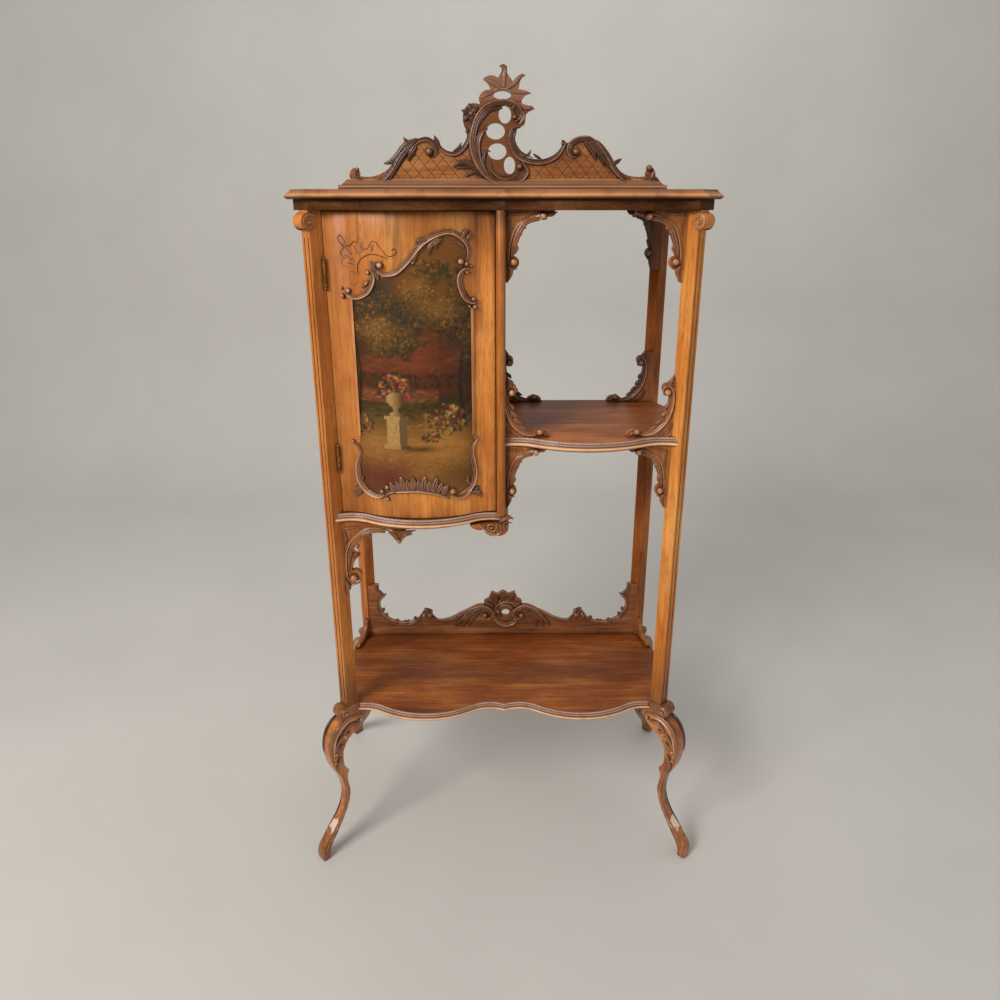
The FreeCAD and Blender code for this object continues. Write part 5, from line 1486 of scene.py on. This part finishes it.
# %% [markdown]
# The trees stand dark against that sky. A crown is a dozen loose clumps, dark first, then the leaves that
# take the light. Dusk is washed into the gaps, and the clumps that face the evening sun get a last few
# lights.

# %% Trees
LEAF, DUSK = rgb(122, 86, 38), rgb(40, 40, 34)
SHADOWS = [UMBER, OLIVE, rgb(40, 44, 38), rgb(74, 50, 26)]
LEAVES = [OLIVE, LEAF, rgb(102, 68, 30), rgb(84, 62, 32)]
LIGHTS = [LEAF, rgb(170, 112, 48), OCHRE, rgb(150, 92, 40)]
CROWNS = ((0.90, 0.74, 0.14, 0.090), (0.74, 0.70, 0.17, 0.070), (0.50, 0.72, 0.14, 0.060),
          (0.95, 0.62, 0.10, 0.055), (0.08, 0.70, 0.15, 0.085), (0.24, 0.66, 0.17, 0.075),
          (0.38, 0.60, 0.13, 0.040), (0.64, 0.86, 0.12, 0.035), (0.30, 0.75, 0.12, 0.040))
GAPS = ((0.20, 0.80, 0.8), (0.40, 0.71, 0.6), (0.04, 0.60, 0.6), (0.80, 0.60, 0.5), (0.96, 0.50, 0.7))
SUNLIT = ((0.22, 0.655), (0.70, 0.73), (0.55, 0.80))


def tree_crown(canvas, s, t, rs, rt):
    for _ in range(12):
        at_s, at_t = s + 0.55 * rs * canvas.dice.normal(), t + 0.5 * rt * canvas.dice.normal()
        wide, high = rs * canvas.dice.uniform(0.35, 0.7), rt * canvas.dice.uniform(0.35, 0.7)
        canvas.dabs(30, at_s, at_t, wide, high, SHADOWS, 7.0, 3.6, strength=0.42)
        canvas.dabs(34, at_s - 0.2 * wide, at_t + 0.2 * high, wide, high, LEAVES, 4.6, 2.0, strength=0.42)
        canvas.dabs(18, at_s - 0.3 * wide, at_t + 0.4 * high, wide, high, LIGHTS, 2.8, 1.3, strength=0.42)


def paint_trees(canvas):
    canvas.limb([(0.90, 0.30), (0.86, 0.45), (0.89, 0.58), (0.80, 0.72), (0.62, 0.78)], UMBER, 5.0, 1.2)
    canvas.limb([(0.88, 0.55), (0.95, 0.68), (0.97, 0.76)], UMBER, 3.0, 1.0)
    canvas.limb([(0.05, 0.34), (0.08, 0.50), (0.05, 0.62), (0.16, 0.70)], UMBER, 4.0, 1.0)
    for crown in CROWNS:
        tree_crown(canvas, *crown)
    for s, t, strength in GAPS:
        canvas.glow(DUSK, s, t, 0.15, 0.05, strength)
    for s, t in SUNLIT:
        canvas.glow(OCHRE, s, t, 0.14, 0.04, 0.3)
        canvas.dabs(70, s, t, 0.16, 0.05, LIGHTS, 3.0, 1.4, strength=0.5)
        canvas.dabs(40, s, t - 0.03, 0.16, 0.04, SHADOWS, 4.0, 2.0, strength=0.5)


# %% [markdown]
# The urn stands on a pedestal of three blocks, lit from the left. Its half width is interpolated over its
# height, as a turner's template would give it. Flowers are dabs again: leaves first, then petals, then a
# few lights.

# %% Urn and flowers
STONE, STONE_SHADE, TEAL = rgb(178, 142, 90), rgb(72, 54, 34), rgb(34, 62, 54)
CRIMSON, ROSE, YELLOW = rgb(150, 36, 40), rgb(196, 116, 96), rgb(212, 164, 66)
WINE, CREAM = rgb(104, 26, 30), rgb(228, 206, 160)
MOSS = [rgb(120, 96, 60), rgb(92, 80, 44), STONE_SHADE]
FOLIAGE, PETAL_LIGHTS = [TEAL, OLIVE, UMBER], [ROSE, YELLOW, CREAM]
PETALS = [CRIMSON, CRIMSON, WINE, ROSE, YELLOW, LEAF]
URN_AT, URN_FOOT, URN_HIGH, URN_HALF = 0.35, 0.336, 0.10, 0.08
URN_RISE = (0.0, 0.08, 0.2, 0.3, 0.55, 0.75, 0.86, 0.93, 1.0)
URN_SWELL = (0.055, 0.05, 0.018, 0.022, 0.075, 0.07, 0.05, 0.085, 0.088)
PEDESTAL = ((0.110, 0.205, 0.222), (0.082, 0.222, 0.320), (0.100, 0.320, URN_FOOT))
BUNCHES = ((URN_AT, 0.462, 0.125, 0.034, 50), (0.25, 0.430, 0.035, 0.020, 10),
           (0.46, 0.425, 0.030, 0.024, 10), (0.77, 0.325, 0.150, 0.055, 62), (0.63, 0.255, 0.060, 0.020, 14),
           (0.08, 0.300, 0.070, 0.035, 20))


def paint_urn(canvas):
    for half, low, top in PEDESTAL:
        block = (np.abs(canvas.s - URN_AT) < half) & (canvas.t > low) & (canvas.t < top)
        canvas.wash(STONE, block, 0.9)
        canvas.wash(STONE_SHADE, block & (canvas.s > URN_AT + 0.3 * half), 0.8)
    canvas.glow(UMBER, 0.53, 0.206, 0.16, 0.011, 0.8)
    rise = (canvas.t - URN_FOOT) / URN_HIGH
    urn = (np.abs(canvas.s - URN_AT) < np.interp(rise, URN_RISE, URN_SWELL)) & (rise >= 0) & (rise <= 1)
    canvas.wash(STONE, urn, 0.9)
    from_light = np.clip((canvas.s - URN_AT + 0.5 * URN_HALF) / (1.2 * URN_HALF), 0, 1)
    canvas.wash(STONE_SHADE, urn * from_light, 0.95)
    canvas.dabs(60, 0.36, 0.30, 0.10, 0.11, MOSS, 3.0, 1.4, strength=0.35)


def paint_flowers(canvas):
    for s, t, rs, rt, count in BUNCHES:
        canvas.dabs(3 * count, s, t, 1.15 * rs, 1.2 * rt, FOLIAGE, 4.5, 2.4)
        canvas.dabs(count, s, t, rs, rt, PETALS, 4.4, 3.4, strength=0.5)
        at_s, at_t = s - 0.2 * rs, t + 0.3 * rt
        canvas.dabs(count // 3, at_s, at_t, 0.8 * rs, 0.7 * rt, PETAL_LIGHTS, 2.2, 1.4, strength=0.4)


# %% [markdown]
# The layers follow each other on one canvas. At the end the left and right edges are darkened, where the
# bowed panel turns from the light, and old varnish warms the whole.

# %% Paint the garden
VARNISH, EDGE_WIDE = np.array([1.0, 0.94, 0.82]), 0.12
canvas = Canvas(int(PAINT_WIDE) + 1, int(PAINT_HIGH) + 1, PAINT_SEED)
for step in (paint_ground, paint_trees, paint_urn, paint_flowers):
    step(canvas)
edge = np.minimum(np.minimum(canvas.s, 1 - canvas.s) / EDGE_WIDE, 1.0)
garden = np.clip(canvas.field * (0.74 + 0.38 * edge)[..., None] * VARNISH, 0.0, 1.0)
print("painted", garden.shape[1], "by", garden.shape[0], "spots, mean", garden.mean(axis=(0, 1)).round(3))

# %% [markdown]
# The panel itself is a thin sheet on the bowed door, inside the curved frame. A fine grid is cut to that
# outline: cells whose middle lies inside stay, and the points on the rim move to the nearest point of the
# outline, which leaves a smooth edge and small, even faces for the colours.

# %% Panel outline
def rounded(points, steps=10):
    """A smooth line through points."""
    spots = np.array([points[0], *points, points[-1]], dtype=float)
    made = []
    for a, b, c, d in zip(spots, spots[1:], spots[2:], spots[3:]):
        for k in np.linspace(0, 1, steps, endpoint=False):
            bend = (2 * a - 5 * b + 4 * c - d) * k ** 2 + (3 * b - a - 3 * c + d) * k ** 3
            made.append(0.5 * (2 * b + (c - a) * k + bend))
    return made + [spots[-1]]


def from_level(level, *points):
    """A smooth line through points that are measured from a level."""
    return rounded([(u, level + v) for u, v in points])


OUTLINE = np.array([
    *from_level(FRIEZE_FOOT, (-104, -136), (-82, -134), (-60, -106)),
    *from_level(FRIEZE_FOOT, (-60, -106), (-32, -100), (4, -70), (30, -44), (60, -35)),
    *from_level(FRIEZE_FOOT, (60, -35), (88, -46), (94, -74)),
    *from_level(FRIEZE_FOOT, (94, -74), (82, -110), (100, -144)),
    *from_level(CABINET_FLOOR, (100, 138), (94, 122), (102, 86), (88, 56), (64, 42)),
    *from_level(CABINET_FLOOR, (42, 44), (-4, 56), (-56, 44)),
    *from_level(CABINET_FLOOR, (-76, 42), (-102, 60), (-108, 90), (-104, 138)),
])


def closed_line(points, step):
    """The points of a closed outline, a step apart."""
    made = []
    for a, b in zip(points, np.roll(points, -1, axis=0)):
        count = max(1, int(np.linalg.norm(b - a) / step))
        made += [a + (b - a) * k / count for k in range(count)]
    return np.array(made)


def inside(x, z, outline):
    """Whether points lie inside an outline, by counting the edges that a line to their right crosses."""
    result = np.zeros(x.shape, dtype=bool)
    for (x0, z0), (x1, z1) in zip(outline, np.roll(outline, -1, axis=0)):
        if z0 != z1:
            result ^= ((z0 > z) != (z1 > z)) & (x < (x1 - x0) * (z - z0) / (z1 - z0) + x0)
    return result


print(len(OUTLINE), "points round the panel")

# %% Cut the panel's grid
PANEL_GRID, RIM_STEP = 1.5, 0.5
wide, high = int(PAINT_WIDE / PANEL_GRID), int(PAINT_HIGH / PANEL_GRID)
columns = PAINT_LEFT + PANEL_GRID * np.arange(wide + 1)
rows = PAINT_LOW + PANEL_GRID * np.arange(high + 1)
grid = np.stack(np.meshgrid(columns, rows), axis=-1).reshape(-1, 2)
centre_x, centre_z = np.meshgrid(columns[:-1] + PANEL_GRID / 2, rows[:-1] + PANEL_GRID / 2)
kept = np.argwhere(inside(centre_x, centre_z, OUTLINE))
first = kept[:, 0] * (wide + 1) + kept[:, 1]
cells = np.stack([first, first + 1, first + wide + 2, first + wide + 1], axis=1)
edges = np.concatenate([cells[:, [i, (i + 1) % 4]] for i in range(4)])
known = {tuple(edge) for edge in edges.tolist()}
rim = [(a, b) for a, b in known if (b, a) not in known]
outline = closed_line(OUTLINE, RIM_STEP)
for i in {a for a, _ in rim}:
    grid[i] = outline[np.argmin(((outline - grid[i]) ** 2).sum(axis=1))]
used = np.unique(cells)
index = np.zeros(len(grid), dtype=int)
index[used] = np.arange(len(used))
cells, rim = index[cells].tolist(), sorted((int(index[a]), int(index[b])) for a, b in rim)
print(len(cells), "cells in the panel,", len(rim), "on its rim")

# %% [markdown]
# The sheet gets a front, a back and a rim, and the colours of the garden. Over them lies a thin varnish
# with fine cracks, and the bristles of the brush show as bump.

# %% Panel and varnish
PANEL_FRONT, PANEL_BACK = 0.6, -0.4
count = len(used)
u, z = grid[used].T
x = BAY_MIDDLE + u
layers = [np.stack([x, door_face(x) - h, z], axis=1) for h in (PANEL_FRONT, PANEL_BACK)]
faces = [tuple(cell) for cell in cells] + [tuple(count + i for i in reversed(cell)) for cell in cells]
faces += [(b, a, count + a, count + b) for a, b in rim]
across = np.clip(np.round(u - PAINT_LEFT).astype(int), 0, garden.shape[1] - 1)
up = np.clip(np.round(z - PAINT_LOW).astype(int), 0, garden.shape[0] - 1)
colours = np.concatenate([garden[up, across]] * 2)

oil = Finish("painting")
paint = oil.attribute("paint", "Color")
bristle = oil.noise(420.0, (1.0, 1.0, 0.5))
cracks = oil.node("TexVoronoi", {"feature": "DISTANCE_TO_EDGE"}, {"Vector": oil.place, "Scale": 190.0})
crack = 1 - oil.band(cracks, 0.01, 0.05)
ribs = oil.ramp(bristle, (0.3, rgb(190, 190, 190)), (0.7, rgb(255, 255, 255)))
tone = oil.blend(0.22 * crack, oil.blend(0.5, paint, ribs, "MULTIPLY"), UMBER)
oil.wear(base_color=tone, roughness=0.34 + 0.1 * bristle, normal=oil.bump(bristle - 0.6 * crack, 0.0003))
polish(oil, shine=0.16)
panel = solid("painted_garden", np.concatenate(layers) * MM, faces, {}, "door_panel", oil.material,
              replaces=("painted_panel",))
paint_layer = panel.data.attributes.new("paint", "FLOAT_COLOR", "POINT")
paint_layer.data.foreach_set("color", np.concatenate([colours, np.ones((len(colours), 1))], axis=1).ravel())

# %% [markdown]
# ## Floor and light
# A plain pale floor turns up into a backdrop, so that no horizon shows. A large soft lamp stands at the
# left front, a weak one fills the right, and a third lights only the backdrop.

# %% Floor and backdrop
FLOOR_HALF, FLOOR_FRONT, WALL_AT, WALL_HIGH, BEND = 9.0, -6.0, 2.6, 6.0, 0.8


def backdrop(name):
    """A floor that bends up into a wall behind the stand."""
    turns = np.linspace(0, math.pi / 2, 12)
    path = [(FLOOR_FRONT, 0.0)]
    path += [(WALL_AT - BEND + BEND * math.sin(turn), BEND - BEND * math.cos(turn)) for turn in turns]
    path.append((WALL_AT, WALL_HIGH))
    mesh = bpy.data.meshes.new(name)
    mesh.from_pydata([(x, y, z) for y, z in path for x in (-FLOOR_HALF, FLOOR_HALF)], [],
                     [(2 * i, 2 * i + 1, 2 * i + 3, 2 * i + 2) for i in range(len(path) - 1)])
    mesh.shade_smooth()
    made = bpy.data.objects.new(name, mesh)
    scene.collection.objects.link(made)
    return made


floor = backdrop("floor")
floor.data.materials.append(mottled("pale_floor", 2.0, rgb(206, 203, 198), rgb(212, 209, 204), 0.85))
print("floor", 2 * FLOOR_HALF, "m wide, backdrop", WALL_HIGH, "m high")

# %% Lamps
WORLD_COLOUR, WORLD_STRENGTH = (0.92, 0.90, 0.87, 1.0), 0.43


def lamp(name, power, size, place, aim, colour=(1.0, 1.0, 1.0)):
    data = bpy.data.lights.new(name, "AREA")
    data.energy, data.size, data.color = power, size, colour
    made = bpy.data.objects.new(name, data)
    made.location = place
    made.rotation_euler = (Vector(aim) - Vector(place)).to_track_quat("-Z", "Y").to_euler()
    scene.collection.objects.link(made)
    print(name, "lamp,", power, "W")


lamp("key", 86.0, 1.3, (-1.9, -2.2, 2.7), (0.0, 0.0, 0.9), (1.0, 0.97, 0.93))
lamp("fill", 6.0, 2.0, (2.2, -2.0, 1.4), (0.0, 0.0, 0.8))
lamp("backdrop", 13.0, 2.4, (0.6, 1.0, 3.0), (0.8, 2.6, 0.8))
world = bpy.data.worlds.new("studio")
scene.world = world
world.use_nodes = True
sky = world.node_tree.nodes["Background"].inputs
sky["Color"].default_value, sky["Strength"].default_value = WORLD_COLOUR, WORLD_STRENGTH
